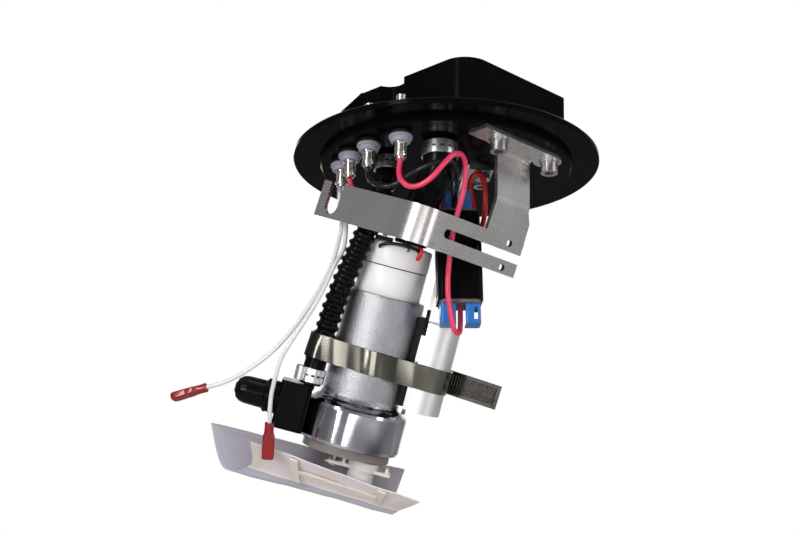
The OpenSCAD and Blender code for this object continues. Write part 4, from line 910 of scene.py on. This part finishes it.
band_tail = moved(ribbon(tail, False, BAND_THICK, BAND_WIDE, ribs), tail_place)
band = piece(
    "clamp_band_ribbed", *joined([band_loop, band_tail]), "band_steel", ["clamp_band"], band_place, 30
)
# Painted shade: the free end gets a darker copy of the band's steel tone
band.data.materials.append(steel("band_tail", (0.09, 0.085, 0.075), 0.2, SCRATCHES, PUMP_LEAN))
for face in list(band.data.polygons)[len(band_loop[1]):]:
    face.material_index = 1

# ---- filter sock: a pouch of cloth that stands open like a trough -----------------------------------

# The trough's section at its left and right end, from the back leaf's lip round to the front leaf's
SOCK_LEFT = [(-68.5, 13.5, -84.5), (-56, -5, -101.5), (-43, -9.5, -96), (-45, -23, -83.5)]
SOCK_RIGHT = [(31, 16, -83), (29, -5, -101.5), (34, -8.5, -98.5), (41, -20, -91.5)]
SOCK_ROWS, SOCK_COLUMNS = 90, 72
ROW_STEP, COLUMN_STEP = 1.1, 0.8
LEAF_OUT, LEAF_EDGE, LEAF_PLUMP, LEAF_SOFT = 0.3, 0.3, 1.3, 4.0
WELD_FROM, WELD_TO, WELD_DEEP = 2.6, 3.4, 0.25
BACK_LEAF_SHARE = 0.64
LEFT_STRIP, RIGHT_STRIP = 7, 9  # rows of the welded strips at the front leaf's ends
BACK_LEAF, WELDED_STRIP = 1, 2  # the sock's second and third material


def sock():
    rows, columns = SOCK_ROWS, SOCK_COLUMNS
    share = np.linspace(0, 1, columns)
    left, right = (evenly(through(ends, 20), columns) for ends in (SOCK_LEFT, SOCK_RIGHT))
    middle = []
    for i in range(rows):
        u = i / (rows - 1)
        section = left * (1 - u) + right * u
        wave = 0.5 * np.sin(8 * u + 6 * share) + 0.3 * np.sin(19 * u - 9 * share)
        wave += 0.12 * np.sin(41 * u + 23 * share)
        sag = 0.5 * math.sin(math.pi * u) * np.sin(math.pi * share)
        section[:, 1] += wave * 0.5
        section[:, 2] += wave * 0.35 - sag
        middle.append(section)
    middle = np.array(middle)
    facing = np.cross(np.gradient(middle, axis=0), np.gradient(middle, axis=1))
    facing /= np.linalg.norm(facing, axis=2)[:, :, None]
    if facing[rows // 2, columns // 2, 2] > 0:
        facing = -facing
    from_ends = np.minimum(np.arange(rows), np.arange(rows)[::-1]) * ROW_STEP
    from_lips = np.minimum(np.arange(columns), np.arange(columns)[::-1]) * COLUMN_STEP
    from_edge = np.minimum.outer(from_ends, from_lips)
    plump = LEAF_EDGE + LEAF_PLUMP * (1 - np.exp(-from_edge / LEAF_SOFT))
    plump[(from_edge < WELD_TO) & (from_edge > WELD_FROM)] -= WELD_DEEP
    outer = middle + facing * LEAF_OUT
    inner = middle - facing * plump[:, :, None]
    points = list(outer.reshape(-1, 3)) + list(inner.reshape(-1, 3))
    count = rows * columns
    faces = grid_faces(rows, columns, wrap=False, turned=True)
    faces += grid_faces(rows, columns, first=count, wrap=False)
    rim = (
        [i * columns for i in range(rows)]
        + [(rows - 1) * columns + k for k in range(1, columns)]
        + [i * columns + columns - 1 for i in range(rows - 2, -1, -1)]
        + [k for k in range(columns - 2, 0, -1)]
    )
    for a, b in zip(rim, rim[1:] + rim[:1]):
        faces.append([b, a, count + a, count + b])
    made = piece("filter_sock_cloth", points, faces, "sock_mesh", ["filter_sock"], pump_place, 70)
    made.data.materials.append(spun_cloth())
    made.data.materials.append(finish_for("stiffener"))
    for face in made.data.polygons:
        row, column = divmod(face.vertices[0] % count, columns)
        if column < BACK_LEAF_SHARE * columns:
            face.material_index = BACK_LEAF
        elif row < LEFT_STRIP or row > rows - RIGHT_STRIP:
            face.material_index = WELDED_STRIP
    return made


cloth = sock()

# ---- light: a grey studio with soft boxes, and a white card behind the part -------------------------

world = bpy.data.worlds.new("world")
bpy.context.scene.world = world
sky = Paint(world)
look = sky.node("TexCoord", {}, output=0)
toward = sky.node("VectorMath", {"operation": "DOT_PRODUCT"}, look, tuple(ahead), output=1)
card = sky.span(toward, 0.86, 0.94)
in_view, in_gloss, in_glass = (sky.node("LightPath", {}, output=k) for k in (0, 3, 6))
seen = (in_view + (in_gloss + in_glass) * card).clamped()
x, z = sky.part(look, "x"), sky.part(look, "z")
side_glow = sky.span(x, -0.9, 0.9, 0.22, 0.6)
room = sky.ramp(
    sky.span(z, -1, 1, 0, 0.5) + side_glow * 0.8,
    (0.1, (0.16, 0.16, 0.17)), (0.5, (0.42, 0.42, 0.43)), (1.0, (0.95, 0.95, 0.96)),
)
room_light = sky.node("Background", {}, room, 0.5)
white_card = sky.node("Background", {}, (1, 1, 1), 1.0)
sky.node("OutputWorld", {}, sky.node("MixShader", {}, seen, room_light, white_card))

AIM = Vector((-0.02, 0, -0.07))
for name, place, wide, high, watts in (
    ("left_box", (-0.62, -0.85, 0.02), 0.22, 0.9, 8),
    ("right_box", (0.95, -0.5, -0.05), 0.3, 0.9, 3.4),
    ("top_box", (0.1, -0.5, 0.9), 0.8, 0.5, 3),
    ("low_box", (0.05, -0.75, -0.40), 0.5, 0.25, 1.0),
    ("back_box", (-0.35, 1.1, 0.25), 0.7, 0.5, 3),
):
    data = bpy.data.lights.new(name, "AREA")
    data.shape = "RECTANGLE"
    data.size, data.size_y = wide, high
    data.energy = watts
    made = shown(name, data)
    made.location = place
    made.rotation_euler = (AIM - Vector(place)).to_track_quat("-Z", "Y").to_euler()

bpy.context.scene.view_settings.view_transform = "Standard"

# ---- floor: far below, so that low views see under the part -----------------------------------------

FLOOR, REACH = -0.75, 3
corners = [(-REACH, -REACH, FLOOR), (REACH, -REACH, FLOOR), (REACH, REACH, FLOOR), (-REACH, REACH, FLOOR)]
floor_data = bpy.data.meshes.new("floor")
floor_data.from_pydata(corners, [], [(0, 1, 2, 3)])
floor = shown("floor", floor_data)
floor_finish, p = material("pale_floor")
plain = p.node("BsdfDiffuse", {}, p.blend(p.cloud(3, 3), (0.60, 0.60, 0.60), (0.64, 0.64, 0.64)))
pale = p.node("Emission", {}, (0.92, 0.92, 0.92), 1.0)
in_view = p.node("LightPath", {}, output=0) * 0.85
p.node("OutputMaterial", {}, p.node("MixShader", {}, in_view, plain, pale))
floor_data.materials.append(floor_finish)
floor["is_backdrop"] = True

low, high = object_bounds()
